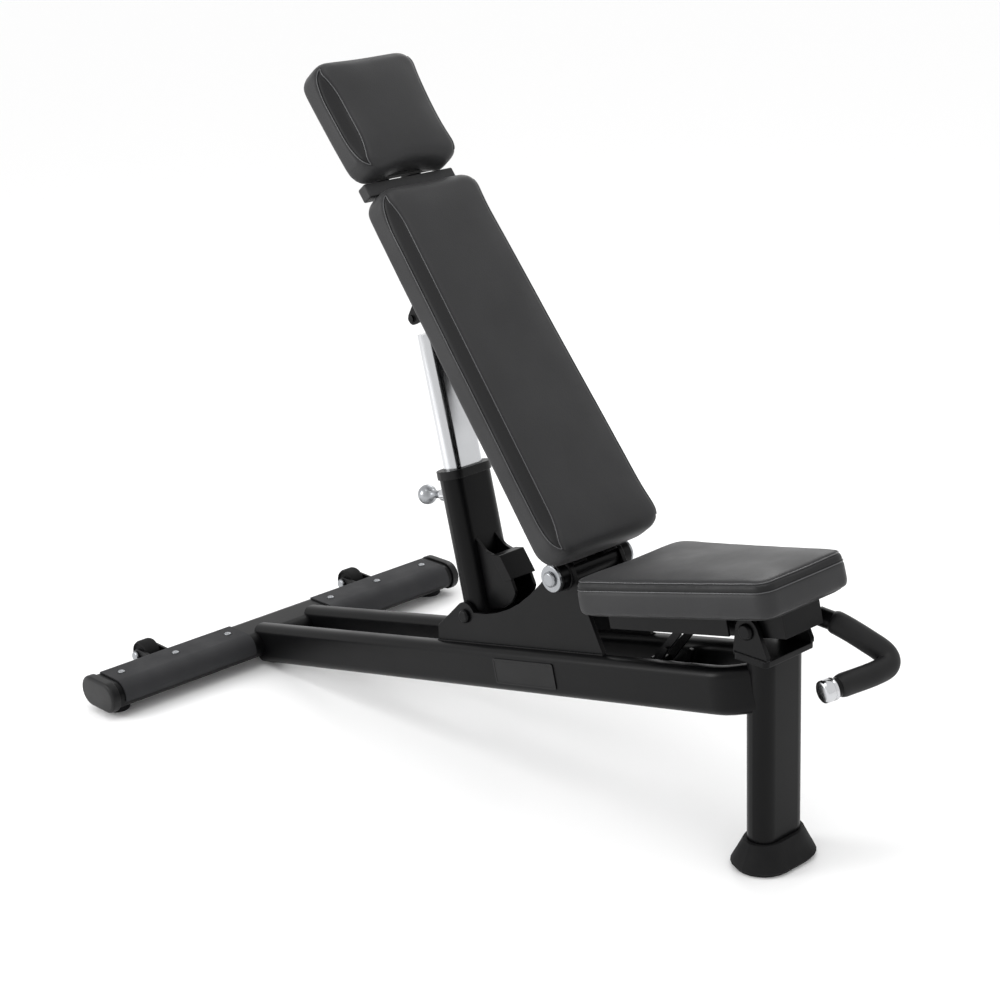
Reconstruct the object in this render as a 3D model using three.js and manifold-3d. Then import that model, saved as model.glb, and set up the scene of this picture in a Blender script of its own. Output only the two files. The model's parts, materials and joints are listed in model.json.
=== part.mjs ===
// Adjustable weight bench: a welded frame on a front post and a rear stabilizer, a seat that tilts
// on the post, and a backrest held by a telescopic strut with a sprung pull pin.
//
// Millimetres, +Z up, +X towards the seat end, +Y to the bench's left. The model is laid out about
// the foot of the front post and shifted at the end to stand on the centre of its own box.

import * as THREE from "three";
import { mergeVertices } from "three/addons/utils/BufferGeometryUtils.js";
import Module from "manifold-3d";

const wasm = await Module();
wasm.setup();

// ---- Driving dimensions ----------------------------------------------------------------------

const GAP = 0.3; // between pieces that touch
const RUN = 0.4; // between a pin and its hole, and other moving fits
const TAU = Math.PI * 2;
const SIDES = { left: 1, right: -1 };

const postWidth = 100; // across the bench
const postDepth = 50;
const postWall = 3;
const postFoot = 10;
const postTop = 346;

const bootMargin = 26;
const bootHeight = 46;
const bootFlare = 19; // how much the boot narrows from its foot to its rim

const stabX = -1253; // centre of the rear stabilizer
const stabZ = 40;
const stabDepth = 100;
const stabHeight = 50;
const stabWall = 3;
const stabHalf = 408;
const endCapLength = 18;
const endCapLip = 4;
const endPlugDepth = 18;
const padFootRadius = 24;
const padFootY = 385;

const guardInner = 100;
const guardOuter = 396;
const guardSheet = 3;
const guardLow = 32; // height of the guard's front edge above the floor

const wheelX = -1346;
const wheelY = 253;
const wheelZ = 43;
const wheelRadius = 27;
const wheelHalf = 16;
const wheelAxleRadius = 6;
const forkSheet = 5;
const forkSide = 1.5; // room beside the wheel

const railY = 61; // centre line of each rail
const railHeight = 76;
const railWidth = 38;
const railCorner = 16;
const railWall = 2.5;
const railSlope = 0.213;
const railMarkX = -129; // a point on the rails' centre line
const railMarkZ = 272.5;
const railRearX = -1226;
const railSteps = 8; // steps along a rail, of which the first is its straight run

const axleX = -392; // backrest pivot
const axleZ = 389;
const axleRadius = 12.5;
const axleHousing = 24;
const axleHousingLength = 20;
const washerRadius = 22.5;
const washerThick = 5;
const endBoltRadius = 6;
const endBoltHead = 13;
const endBoltHeadHeight = 6;
const endBoltDepth = 18;

const plateInner = 52;
const plateThick = 8;
const plateRearX = -705;
const plateFrontX = -303;
const plateTipZ = 216;
const plateTopRadius = 27;
const plateLugRadius = 24;

const strutX = -632; // strut pivot
const strutZ = 253;
const strutLean = 12.8; // degrees back from upright, as stored
const strutPinRadius = 8;
const sleeveWidth = 100;
const sleeveDepth = 50;
const sleeveWall = 3;
const sleeveBelow = 25;
const sleeveAbove = 245;
const collarLip = 3;
const collarSkirt = 9;
const collarTop = 6;

const barWidth = 76;
const barDepth = 38;
const barWall = 3;
const barLow = 35;
const barHigh = 485;
const barEye = 515; // distance from the strut pivot to the bar's upper eye
const eyeRadius = 11;
const eyeHalf = 16;
const clevisStubRadius = 6.5;

const pinHeight = 199; // pull pin above the strut pivot
const pinRadius = 6;
const housingRadius = 11;
const housingLength = 45;
const neckRadius = 8.5;
const neckLength = 27;
const knobRadius = 17.5;
const knobLength = 31;
const lockAngles = [-52, -35, -17, 0, 12, 23]; // backrest angles from rest that the pin locks
const barTravelPerDegree = 4.45;

const restInner = 19;
const restThick = 6;

const backTilt = 52; // degrees above level, as stored
const backStart = 14; // pad's lower end, from the pivot
const backLength = 676;
const backLowHalf = 124;
const backHighHalf = 111;
const backPlane = 30; // underside of the pad board above the pivot
const padBoard = 12;
const backThick = 64;
const padInset = 9; // board edge inside the cushion edge
const padCorner = 38;
const padEdge = 7;
const hingeTubeRadius = 22;
const backRailInner = 20;
const backRailWidth = 30;
const backRailDepth = 21;
const backRailWall = 2.5;
const clevisInner = 41;
const clevisThick = 6;
const clevisRadius = 11;
const crossStart = 250;
const crossWidth = 44;

const padGap = 26; // between the back and head cushions
const headStart = backStart + backLength + padGap;
const headLength = 218;
const headLowHalf = 107;
const headHighHalf = 111;
const headThick = 62;
const neckHalf = 97; // wrapped board that shows between the head and back cushions
const neckThick = 22;

const seatX = -8; // seat pivot
const seatZ = 395;
const seatTilt = 12.5; // degrees, front end up, as stored
const seatRear = -290;
const seatFront = 92;
const seatRearHalf = 129;
const seatFrontHalf = 101;
const seatPlane = 30.6;
const seatThick = 59;
const seatPinRadius = 8;
const seatPinHead = 13;
const seatPinHeadHeight = 6;
const lugInner = 47;
const lugThick = 8;
const lugRadius = 22;
const lugRearX = -34;
const lugFrontX = 32;
const topPlateThick = 10;
const channelHalf = 60;
const channelSheet = 4;
const channelRear = -285;
const channelMouth = -32; // where the channel's flanges stop, behind the lugs
const channelFront = 65;
const channelDrop = 8;
const armHalf = 43;
const armDrop = 12;
const seatTubeRadius = 16;

const propX = -150; // prop link's upper pivot, in the seat's own frame
const propZ = 2;
const propLength = 125;
const propAngle = 38; // degrees that the link leans back from straight down, as stored
const propRod = 6;
const propArmInner = 18;
const propArmThick = 5;
const propEarInner = 26;
const propEarThick = 5;

const handleRadius = 15;
const gripRadius = 18.5;
const gripBore = 0.3;
const handleCapLength = 16;

const badgeLength = 148;
const badgeHeight = 44;
const badgeX = -346; // centre, along the rail from its mark
const badgeThick = 1.6;

const colours = {
  paint: [0x17181a, 0.45, 0.35],
  rubber: [0x101011, 0.85, 0.0],
  plastic: [0x141415, 0.6, 0.0],
  vinyl: [0x2b2b2d, 0.6, 0.0],
  guard: [0x3a3b3d, 0.8, 0.0],
  chrome: [0xd8d8da, 0.18, 1.0],
  board: [0x1b1b1c, 0.8, 0.0],
};

// ---- Solids ----------------------------------------------------------------------------------

const radians = (degrees) => (degrees * Math.PI) / 180;

function solidOf(geometry) {
  const bare = geometry.clone();
  bare.deleteAttribute("normal");
  bare.deleteAttribute("uv");
  const merged = mergeVertices(bare, 1e-4);
  return new wasm.Manifold(
    new wasm.Mesh({
      numProp: 3,
      vertProperties: new Float32Array(merged.attributes.position.array),
      triVerts: new Uint32Array(merged.index.array),
    }),
  );
}

function geometryOf(solid) {
  const mesh = solid.getMesh();
  const geometry = new THREE.BufferGeometry();
  geometry.setAttribute("position", new THREE.BufferAttribute(new Float32Array(mesh.vertProperties), 3));
  geometry.setIndex(new THREE.BufferAttribute(new Uint32Array(mesh.triVerts), 1));
  const flat = geometry.toNonIndexed();
  flat.computeVertexNormals();
  return flat;
}

const join = (...geometries) =>
  geometryOf(geometries.map(solidOf).reduce((whole, piece) => whole.add(piece)));

const cut = (geometry, ...tools) =>
  geometryOf(tools.map(solidOf).reduce((whole, tool) => whole.subtract(tool), solidOf(geometry)));

// The largest body of a cut piece, without the slivers that a cut may leave.
const mainBody = (geometry) =>
  geometryOf(
    solidOf(geometry)
      .decompose()
      .reduce((most, body) => (body.volume() > most.volume() ? body : most)),
  );

// A rounded rectangle centred on the origin; a corner of half its width makes a flat-sided oval.
function ovalShape(width, height, corner) {
  const radius = Math.min(corner, width / 2 - 0.25, height / 2 - 0.25);
  const right = width / 2 - radius;
  const top = height / 2 - radius;
  const shape = new THREE.Shape();
  shape.absarc(right, top, radius, 0, TAU / 4, false);
  shape.absarc(-right, top, radius, TAU / 4, TAU / 2, false);
  shape.absarc(-right, -top, radius, TAU / 2, TAU * 0.75, false);
  shape.absarc(right, -top, radius, TAU * 0.75, TAU, false);
  shape.closePath();
  return shape;
}

const circleShape = (radius) => ovalShape(2 * radius, 2 * radius, radius);

// A closed outline through the corners, each one rounded by its own radius.
function roundedShape(corners) {
  const shape = new THREE.Shape();
  corners.forEach(([x, y, radius = 0], i) => {
    const here = new THREE.Vector2(x, y);
    const last = new THREE.Vector2(...corners.at(i - 1).slice(0, 2));
    const next = new THREE.Vector2(...corners[(i + 1) % corners.length].slice(0, 2));
    const start = here.clone().add(last.clone().sub(here).setLength(radius));
    const end = here.clone().add(next.clone().sub(here).setLength(radius));
    if (i === 0) shape.moveTo(start.x, start.y);
    else shape.lineTo(start.x, start.y);
    if (radius > 0) shape.quadraticCurveTo(here.x, here.y, end.x, end.y);
  });
  shape.closePath();
  return shape;
}

function extruded(shape, depth, options = {}) {
  return new THREE.ExtrudeGeometry(shape, {
    depth,
    bevelEnabled: false,
    curveSegments: 3,
    ...options,
  });
}

// A shape drawn in X and Z, as thick as y0 to y1.
function plateXZ(shape, y0, y1, options) {
  const low = Math.min(y0, y1);
  const high = Math.max(y0, y1);
  return extruded(shape, high - low, options).rotateX(TAU / 4).translate(0, high, 0);
}

// A shape drawn in X and Y, from z0 up to z1, with its edges rounded by edge.
function slabXY(shape, z0, z1, edge = 0, options = {}) {
  const rounding = edge
    ? { bevelEnabled: true, bevelThickness: edge, bevelSize: edge, bevelOffset: -edge, bevelSegments: 3 }
    : {};
  return extruded(shape, z1 - z0 - 2 * edge, { ...rounding, ...options }).translate(0, 0, z0 + edge);
}

const rodY = (radius, y0, y1, x = 0, z = 0, sides = 24) =>
  new THREE.CylinderGeometry(radius, radius, Math.abs(y1 - y0), sides).translate(x, (y0 + y1) / 2, z);

const rodX = (radius, x0, x1, z = 0, sides = 20) =>
  new THREE.CylinderGeometry(radius, radius, Math.abs(x1 - x0), sides)
    .rotateZ(TAU / 4)
    .translate((x0 + x1) / 2, 0, z);

const block = (x0, x1, y0, y1, z0, z1) =>
  new THREE.BoxGeometry(Math.abs(x1 - x0), Math.abs(y1 - y0), Math.abs(z1 - z0)).translate(
    (x0 + x1) / 2,
    (y0 + y1) / 2,
    (z0 + z1) / 2,
  );

// Narrows a slab of the given half sizes by inset(z) all round.
function drawIn(geometry, halfX, halfY, inset) {
  const place = geometry.attributes.position;
  for (let i = 0; i < place.count; i += 1) {
    const inwards = inset(place.getZ(i));
    place.setX(i, place.getX(i) * (1 - inwards / halfX));
    place.setY(i, place.getY(i) * (1 - inwards / halfY));
  }
}

// A profile of [radius, height] pairs turned about the Y axis.
function turned(profile, sides = 24) {
  const geometry = new THREE.LatheGeometry(
    profile.map(([radius, height]) => new THREE.Vector2(radius, height)),
    sides,
  );
  return geometryOf(outward(solidOf(geometry), geometry));
}

// Turns a solid right side out if its faces point inwards.
function outward(solid, geometry) {
  if (solid.volume() > 0) return solid;
  const flipped = geometry.clone();
  const index = flipped.index.array;
  for (let i = 0; i < index.length; i += 3) [index[i + 1], index[i + 2]] = [index[i + 2], index[i + 1]];
  return solidOf(flipped);
}

function tubeAlong(curve, shape, steps) {
  return new THREE.ExtrudeGeometry(shape, {
    extrudePath: curve,
    steps,
    bevelEnabled: false,
    curveSegments: 3,
  });
}

const materials = Object.fromEntries(
  Object.entries(colours).map(([name, [color, roughness, metalness]]) => [
    name,
    () => new THREE.MeshStandardMaterial({ color, roughness, metalness }),
  ]),
);

function part(name, geometry, finish) {
  const mesh = new THREE.Mesh(geometry, materials[finish]());
  mesh.name = name;
  return mesh;
}

// A group turned about Y by a number of degrees, at a pivot.
function pivotGroup(x, z, degrees) {
  const group = new THREE.Group();
  group.position.set(x, 0, z);
  group.rotation.y = radians(degrees);
  return group;
}

// ---- Front post ------------------------------------------------------------------------------

const postOval = (grow = 0) =>
  ovalShape(postDepth + 2 * grow, postWidth + 2 * grow, postDepth / 2 + grow);

function frontPost() {
  const tube = postOval();
  tube.holes.push(postOval(-postWall));
  return part("front_post", slabXY(tube, postFoot, postTop), "paint");
}

function frontBoot() {
  const body = slabXY(postOval(bootMargin), 0, bootHeight, 0, { steps: 6 });
  drawIn(body, postDepth / 2 + bootMargin, postWidth / 2 + bootMargin, (z) => {
    const share = z / bootHeight;
    if (share < 0.2) return 6 * (1 - share / 0.2) ** 2;
    return bootFlare * ((share - 0.2) / 0.8) ** 0.9;
  });
  const pocket = slabXY(postOval(GAP), postFoot - GAP, bootHeight + 1);
  return part("front_boot", cut(body, pocket), "rubber");
}

function postTopPlate() {
  const width = 2 * (lugInner + lugThick) + 4;
  const outline = ovalShape(lugFrontX - lugRearX, width, 8);
  const plate = slabXY(outline, postTop + GAP, postTop + topPlateThick);
  return part("post_top_plate", plate.translate((lugFrontX + lugRearX) / 2, 0, 0), "paint");
}

const lugBaseZ = postTop + topPlateThick + GAP;

function seatLug(side) {
  const outline = new THREE.Shape();
  const rise = Math.acos(lugRadius / Math.hypot(lugFrontX - seatX, lugBaseZ + 6 - seatZ));
  const front = Math.atan2(lugBaseZ + 6 - seatZ, lugFrontX - seatX) + rise;
  const back = Math.PI - Math.atan2(lugBaseZ + 6 - seatZ, seatX - lugRearX) - rise;
  outline.moveTo(lugRearX, lugBaseZ);
  outline.lineTo(lugFrontX, lugBaseZ);
  outline.lineTo(lugFrontX, lugBaseZ + 6);
  outline.absarc(seatX, seatZ, lugRadius, front, back, false);
  outline.lineTo(lugRearX, lugBaseZ + 6);
  outline.closePath();
  const y = SIDES[side];
  const plate = plateXZ(outline, y * lugInner, y * (lugInner + lugThick));
  const hole = rodY(seatPinRadius + GAP, y * (lugInner - 5), y * (lugInner + lugThick + 5), seatX, seatZ);
  return part(`seat_lug_${side}`, cut(plate, hole), "paint");
}

function seatPivotBolt() {
  const face = lugInner + lugThick + GAP;
  const head = seatPinHeadHeight;
  const profile = [[0, -face - head], [seatPinHead - 3, -face - head], [seatPinHead, -face - head + 3]];
  profile.push([seatPinHead, -face], [seatPinRadius, -face], [seatPinRadius, face], [seatPinHead, face]);
  profile.push([seatPinHead, face + head - 3], [seatPinHead - 3, face + head], [0, face + head]);
  return part("seat_pivot_bolt", turned(profile).translate(seatX, 0, seatZ), "paint");
}

// ---- Rear stabilizer -------------------------------------------------------------------------

const stabOval = (grow = 0) =>
  ovalShape(stabDepth + 2 * grow, stabHeight + 2 * grow, stabHeight / 2 + grow);

function stabilizerTube() {
  const tube = stabOval();
  tube.holes.push(stabOval(-stabWall));
  return part("stabilizer_tube", plateXZ(tube, -stabHalf, stabHalf).translate(stabX, 0, stabZ), "paint");
}

function endCap(side) {
  const y = SIDES[side];
  const edge = 6;
  const flange = slabXY(stabOval(endCapLip), GAP, endCapLength, 0, { steps: 6 });
  drawIn(flange, stabDepth / 2 + endCapLip, stabHeight / 2 + endCapLip, (z) => {
    const past = Math.max(0, z - (endCapLength - edge)) / edge;
    return edge * (1 - Math.sqrt(1 - past * past));
  });
  flange.rotateX((-y * TAU) / 4).translate(0, y * stabHalf, 0);
  const plug = plateXZ(stabOval(-stabWall - GAP), y * (stabHalf - endPlugDepth), y * (stabHalf + 1));
  return part(`end_cap_${side}`, join(flange, plug).translate(stabX, 0, stabZ), "plastic");
}

function footPad(side) {
  const top = stabZ - stabHeight / 2 - GAP;
  const profile = [[0, 0], [padFootRadius - 3, 0], [padFootRadius, 3], [padFootRadius - 2, top], [0, top]];
  const pad = turned(profile).rotateX(TAU / 4);
  return part(`foot_pad_${side}`, pad.translate(stabX, SIDES[side] * padFootY, 0), "rubber");
}

function guard(side) {
  const y = SIDES[side];
  const sheet = stabOval(GAP + guardSheet);
  sheet.holes.push(stabOval(GAP));
  const ring = plateXZ(sheet, y * guardInner, y * guardOuter).translate(stabX, 0, stabZ);
  const below = block(stabX - 90, stabX + 90, y * 90, y * 410, stabZ - 90, guardLow);
  const behind = block(stabX - 90, stabX - 32, y * 90, y * 410, stabZ - 90, stabZ + 90);
  return part(`guard_${side}`, cut(ring, below, behind), "guard");
}

function wheelFork(side) {
  const near = wheelHalf + forkSide;
  const rear = stabX - stabDepth / 2;
  const cheek = [
    [rear + 12, wheelZ - 18, 4],
    [rear + 12, wheelZ + 14, 2],
    [wheelX - 2, wheelZ + 15, 8],
    [wheelX - 15, wheelZ, 8],
    [wheelX - 2, wheelZ - 15, 8],
  ];
  const cheeks = [near, -near - forkSheet].map((y) => plateXZ(roundedShape(cheek), y, y + forkSheet));
  const web = block(rear - 4.5, rear + 12, -near - 1, near + 1, wheelZ - 17, wheelZ + 13);
  const bore = rodY(wheelAxleRadius + GAP, -60, 60, wheelX, wheelZ);
  const tube = plateXZ(stabOval(GAP), -90, 90).translate(stabX, 0, stabZ);
  const fork = cut(join(...cheeks, web), bore, tube);
  return part(`wheel_fork_${side}`, fork.translate(0, SIDES[side] * wheelY, 0), "paint");
}

function wheelAxle(side) {
  const face = wheelHalf + forkSide + forkSheet + GAP;
  const profile = [[0, -face - 6], [8, -face - 6], [10, -face - 4], [10, -face], [wheelAxleRadius, -face]];
  profile.push([wheelAxleRadius, face], [10, face], [10, face + 4], [8, face + 6], [0, face + 6]);
  const bolt = turned(profile, 20).translate(wheelX, SIDES[side] * wheelY, wheelZ);
  return part(`wheel_axle_${side}`, bolt, "chrome");
}

function wheel(side) {
  const bore = wheelAxleRadius + RUN;
  const half = [[bore, wheelHalf], [12, wheelHalf], [13, wheelHalf - 4], [wheelRadius - 6, wheelHalf - 4]];
  half.push([wheelRadius - 5, wheelHalf], [wheelRadius - 2, wheelHalf - 1], [wheelRadius, wheelHalf - 6]);
  const mirrored = half.map(([radius, height]) => [radius, -height]).reverse();
  const rim = turned([...half, ...mirrored, half[0]], 32);
  return part(`wheel_${side}`, rim.translate(wheelX, SIDES[side] * wheelY, wheelZ), "rubber");
}

// ---- Rails and side plates -------------------------------------------------------------------

const railTilt = Math.atan(railSlope);

// Carries geometry drawn along the rails, about their mark, to its place.
const onRails = (geometry) =>
  geometry.rotateY(-railTilt).translate(railMarkX, 0, railMarkZ);

const alongRail = (x) => (x - railMarkX) / Math.cos(railTilt);

// A rail's centre line: one straight step, then a quarter turn round to the side of the post.
class RailLine extends THREE.Curve {
  constructor(side, rearX) {
    super();
    this.side = SIDES[side];
    this.rear = alongRail(rearX);
    this.bend = alongRail(-railY);
  }

  turnAt(share) {
    return (Math.max(0, share * railSteps - 1) / (railSteps - 1)) * (TAU / 4);
  }

  getPointAt(share) {
    const turn = this.turnAt(share);
    const x = this.rear + (this.bend - this.rear) * Math.min(1, share * railSteps);
    return new THREE.Vector3(x + railY * Math.sin(turn), this.side * railY * Math.cos(turn), 0);
  }

  getTangentAt(share) {
    const turn = this.turnAt(share);
    return new THREE.Vector3(Math.cos(turn), -this.side * Math.sin(turn), 0);
  }
}

function railSolid(side, grow, rearX) {
  const profile = ovalShape(railHeight + 2 * grow, railWidth + 2 * grow, railCorner + grow);
  return onRails(tubeAlong(new RailLine(side, rearX), profile, railSteps));
}

function rail(side) {
  const outer = railSolid(side, 0, railRearX);
  const inner = railSolid(side, -railWall, railRearX + 2 * railWall);
  const post = slabXY(postOval(GAP), postFoot, postTop + 20);
  const stabilizer = plateXZ(stabOval(GAP), -200, 200).translate(stabX, 0, stabZ);
  return part(`rail_${side}`, mainBody(cut(outer, inner, post, stabilizer)), "paint");
}

// The angle at which a line from a point meets a circle, on its left or right as seen from the point.
function tangentAngle(centreX, centreZ, radius, x, z, turn) {
  const towards = Math.atan2(z - centreZ, x - centreX);
  return towards + turn * Math.acos(radius / Math.hypot(x - centreX, z - centreZ));
}

function sidePlate(side) {
  const railTopAt = (x) => railMarkZ + (x - railMarkX) * railSlope + railHeight / 2;
  const sunk = railCorner + 6;
  const frontZ = railTopAt(plateFrontX) + 2;
  const outline = new THREE.Shape();
  const front = tangentAngle(axleX, axleZ, plateTopRadius, plateFrontX, frontZ, 1);
  const tip = tangentAngle(strutX, strutZ, plateLugRadius, plateRearX, plateTipZ, -1) + TAU;
  outline.moveTo(plateRearX, railTopAt(plateRearX) - sunk);
  outline.lineTo(plateFrontX, railTopAt(plateFrontX) - sunk);
  outline.lineTo(plateFrontX, frontZ);
  outline.absarc(axleX, axleZ, plateTopRadius, front, Math.PI * 0.98, false);
  const lugEndX = strutX + plateLugRadius * Math.cos(0.5);
  const lugEndZ = strutZ + plateLugRadius * Math.sin(0.5);
  outline.quadraticCurveTo(axleX - 112, strutZ + 24, lugEndX, lugEndZ);
  outline.absarc(strutX, strutZ, plateLugRadius, 0.5, tip, false);
  outline.lineTo(plateRearX, plateTipZ);
  outline.closePath();
  const y = SIDES[side];
  const plate = plateXZ(outline, y * plateInner, y * (plateInner + plateThick), { curveSegments: 7 });
  const axleHole = rodY(axleRadius + GAP, y * 40, y * 70, axleX, axleZ);
  const strutHole = rodY(strutPinRadius + GAP, y * 40, y * 70, strutX, strutZ);
  const railRoom = railSolid(side, GAP, railRearX);
  return part(`side_plate_${side}`, cut(plate, axleHole, strutHole, railRoom), "paint");
}

const plateOuter = plateInner + plateThick;

function axleHousingRing(side) {
  const bore = axleRadius + GAP;
  const inner = plateOuter + GAP;
  const outer = inner + axleHousingLength - GAP;
  const profile = [[bore, inner], [axleHousing, inner], [axleHousing, outer - 1.5]];
  profile.push([axleHousing - 1.5, outer], [bore, outer], [bore, inner]);
  const ring = turned(profile);
  if (side === "right") ring.rotateX(Math.PI);
  return part(`axle_housing_${side}`, ring.translate(axleX, 0, axleZ), "paint");
}

const axleEnd = plateOuter + axleHousingLength;

function backAxle() {
  const shaft = rodY(axleRadius, -axleEnd, axleEnd, axleX, axleZ);
  const holes = [1, -1].map((y) =>
    rodY(endBoltRadius + GAP, y * (axleEnd - endBoltDepth - 1), y * (axleEnd + 1), axleX, axleZ),
  );
  return part("back_axle", cut(shaft, ...holes), "chrome");
}

function axleWasher(side) {
  const inner = axleEnd + GAP;
  const outer = inner + washerThick;
  const bore = endBoltRadius + GAP;
  const profile = [[bore, inner], [washerRadius, inner], [washerRadius, outer - 1]];
  profile.push([washerRadius - 1, outer], [bore, outer], [bore, inner]);
  const disc = turned(profile);
  if (side === "right") disc.rotateX(Math.PI);
  return part(`axle_washer_${side}`, disc.translate(axleX, 0, axleZ), "chrome");
}

function axleBolt(side) {
  const face = axleEnd + washerThick + 2 * GAP;
  const top = face + endBoltHeadHeight;
  const profile = [[0, axleEnd - endBoltDepth], [endBoltRadius, axleEnd - endBoltDepth]];
  profile.push([endBoltRadius, face], [endBoltHead, face], [endBoltHead, top - 3]);
  profile.push([endBoltHead - 3, top], [0, top]);
  const bolt = turned(profile);
  if (side === "right") bolt.rotateX(Math.PI);
  return part(`axle_bolt_${side}`, bolt.translate(axleX, 0, axleZ), "chrome");
}

function strutBolt(side) {
  const face = plateOuter + GAP;
  const tip = sleeveWidth / 2 - sleeveWall - 3;
  const profile = [[0, tip], [strutPinRadius, tip], [strutPinRadius, face], [12, face], [12, face + 4]];
  profile.push([9, face + 7], [0, face + 7]);
  const bolt = turned(profile);
  if (side === "right") bolt.rotateX(Math.PI);
  return part(`strut_bolt_${side}`, bolt.translate(strutX, 0, strutZ), "paint");
}

// ---- Seat rack between the rails --------------------------------------------------------------

const rackFootX = -102; // where the prop link's foot rests, along the rails from their mark
const rackFootZ = 15.4;

function seatRack() {
  const floor = -6;
  const tips = rackFootZ - propRod - 3.5;
  const corners = [[rackFootX - 24, floor], [-34, floor], [-34, tips - 3]];
  for (let x = -42; x > rackFootX + 6; x -= 14) {
    corners.push([x, tips - 4], [x - 3, tips]);
    corners.push([x - 9, tips]);
  }
  const hook = rackFootX - propRod - 0.8;
  corners.push([hook, tips - 2], [hook, rackFootZ + 8], [hook - 5, rackFootZ + 9], [hook - 12, floor + 6]);
  const teeth = plateXZ(roundedShape(corners), -10, 10);
  const half = railY - railWidth / 2 - GAP;
  const floorPlate = block(rackFootX - 24, -34, -half, half, floor - 5, 0);
  return part("seat_rack", onRails(join(teeth, floorPlate)), "paint");
}

function rackProng(side) {
  const tall = side === "right";
  const foot = tall ? -112 : -84;
  const tip = tall ? -55 : -57;
  const height = tall ? 50 : 31;
  const corners = [[foot, GAP], [foot + 16, GAP], [tip + 3, height - 3, 2], [tip - 4, height, 2]];
  const y = SIDES[side];
  return part(`rack_prong_${side}`, onRails(plateXZ(roundedShape(corners), y * 24.5, y * 30.5)), "paint");
}

// ---- Strut -----------------------------------------------------------------------------------

const sleeveOval = (grow = 0) =>
  ovalShape(sleeveDepth + 2 * grow, sleeveWidth + 2 * grow, sleeveDepth / 2 + grow);
const barOval = (grow = 0) => ovalShape(barDepth + 2 * grow, barWidth + 2 * grow, barDepth / 2 + grow);

function strutSleeve() {
  const tube = sleeveOval();
  tube.holes.push(sleeveOval(-sleeveWall));
  const wall = slabXY(tube, -sleeveBelow, sleeveAbove);
  const pivots = rodY(strutPinRadius + RUN, -sleeveWidth, sleeveWidth);
  const pinHole = rodX(pinRadius + RUN, -sleeveDepth, 0, pinHeight);
  return part("strut_sleeve", cut(wall, pivots, pinHole), "paint");
}

function sleeveCollar() {
  const outer = slabXY(sleeveOval(collarLip), sleeveAbove - collarSkirt, sleeveAbove + collarTop, 1);
  const seat = slabXY(sleeveOval(GAP), sleeveAbove - collarSkirt - 1, sleeveAbove + GAP);
  const mouth = slabXY(barOval(RUN), sleeveAbove - 1, sleeveAbove + collarTop + 1);
  return part("sleeve_collar", cut(outer, seat, mouth), "plastic");
}

// A profile of [radius, distance behind the strut's centre line], turned about the pull pin's axis.
const behindStrut = (profile, sides = 24) =>
  turned(profile, sides).rotateZ(TAU / 4).translate(0, 0, pinHeight);

function pinHousing() {
  const near = sleeveDepth / 2 + GAP;
  const far = near + housingLength;
  const bore = pinRadius + RUN;
  const profile = [[bore, near], [housingRadius + 2, near], [housingRadius + 2, near + 8]];
  profile.push([housingRadius, near + 8], [housingRadius, far - 1], [housingRadius - 1, far], [bore, far]);
  return part("pin_housing", behindStrut([...profile, profile[0]]), "chrome");
}

function pullPin() {
  const tip = barDepth / 2 + 1;
  const neck = sleeveDepth / 2 + housingLength + 3 * GAP;
  const knob = neck + neckLength;
  const profile = [[0, tip], [pinRadius - 2, tip], [pinRadius, tip + 2], [pinRadius, neck]];
  profile.push([neckRadius, neck], [neckRadius - 1.5, neck + neckLength * 0.5], [neckRadius, knob]);
  const steps = 7;
  for (let i = 0; i <= steps; i += 1) {
    const turn = (i / steps) * Math.PI * 0.86 + 0.14 * Math.PI;
    const reach = knobLength * (0.5 - 0.5 * Math.cos(turn));
    profile.push([Math.max(knobRadius * Math.sin(turn) ** 0.6, i === steps ? 0 : 1), knob + reach]);
  }
  return part("pull_pin", behindStrut(profile), "chrome");
}

function restBracket() {
  const wall = sleeveDepth / 2 + GAP;
  const cheek = [[wall, 4], [62, 6, 6], [88, 18, 8], [101, 34, 5], [96, 56], [86, 72], [78, 92, 3]];
  cheek.push([44, 106, 6]);
  const cheeks = [1, -1].map((y) =>
    plateXZ(roundedShape([...cheek, [wall, 128]]), y * restInner, y * (restInner + restThick)),
  );
  const saddle = [[60, 100, 2], [82, 100, 2], [101, 58, 2], [80, 54, 2]];
  return part("rest_bracket", join(...cheeks, plateXZ(roundedShape(saddle), -28, 28)), "paint");
}

function strutBar() {
  const tube = barOval();
  tube.holes.push(barOval(-barWall));
  const wall = slabXY(tube, barLow, barHigh - barWall);
  const lid = slabXY(barOval(), barHigh - 2 * barWall, barHigh);
  const tongue = rodY(eyeRadius, -eyeHalf, eyeHalf, 0, barEye);
  const root = block(-eyeRadius, eyeRadius, -eyeHalf, eyeHalf, barHigh - 2, barEye);
  const locks = lockAngles.map((angle) =>
    rodX(pinRadius + RUN, -barDepth, 0, pinHeight - angle * barTravelPerDegree),
  );
  return part("strut_bar", cut(join(wall, lid, root, tongue), ...locks), "chrome");
}

// ---- Backrest --------------------------------------------------------------------------------
// Drawn lying flat about the pivot: the head end is along -X, and +Z is the side leaned on.

// A cushion or board outline, narrower at one end, with rounded corners.
function taperedOutline(x0, half0, x1, half1, inset = 0, corner = padCorner) {
  const from = x0 + inset;
  const to = x1 - inset;
  const a = half0 - inset;
  const b = half1 - inset;
  return roundedShape([[from, -a, corner], [to, -b, corner], [to, b, corner], [from, a, corner]]);
}

function hingeTube() {
  const half = plateInner - 1;
  const tube = circleShape(hingeTubeRadius);
  tube.holes.push(circleShape(axleRadius + RUN));
  return part("back_hinge_tube", plateXZ(tube, -half, half), "paint");
}

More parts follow.
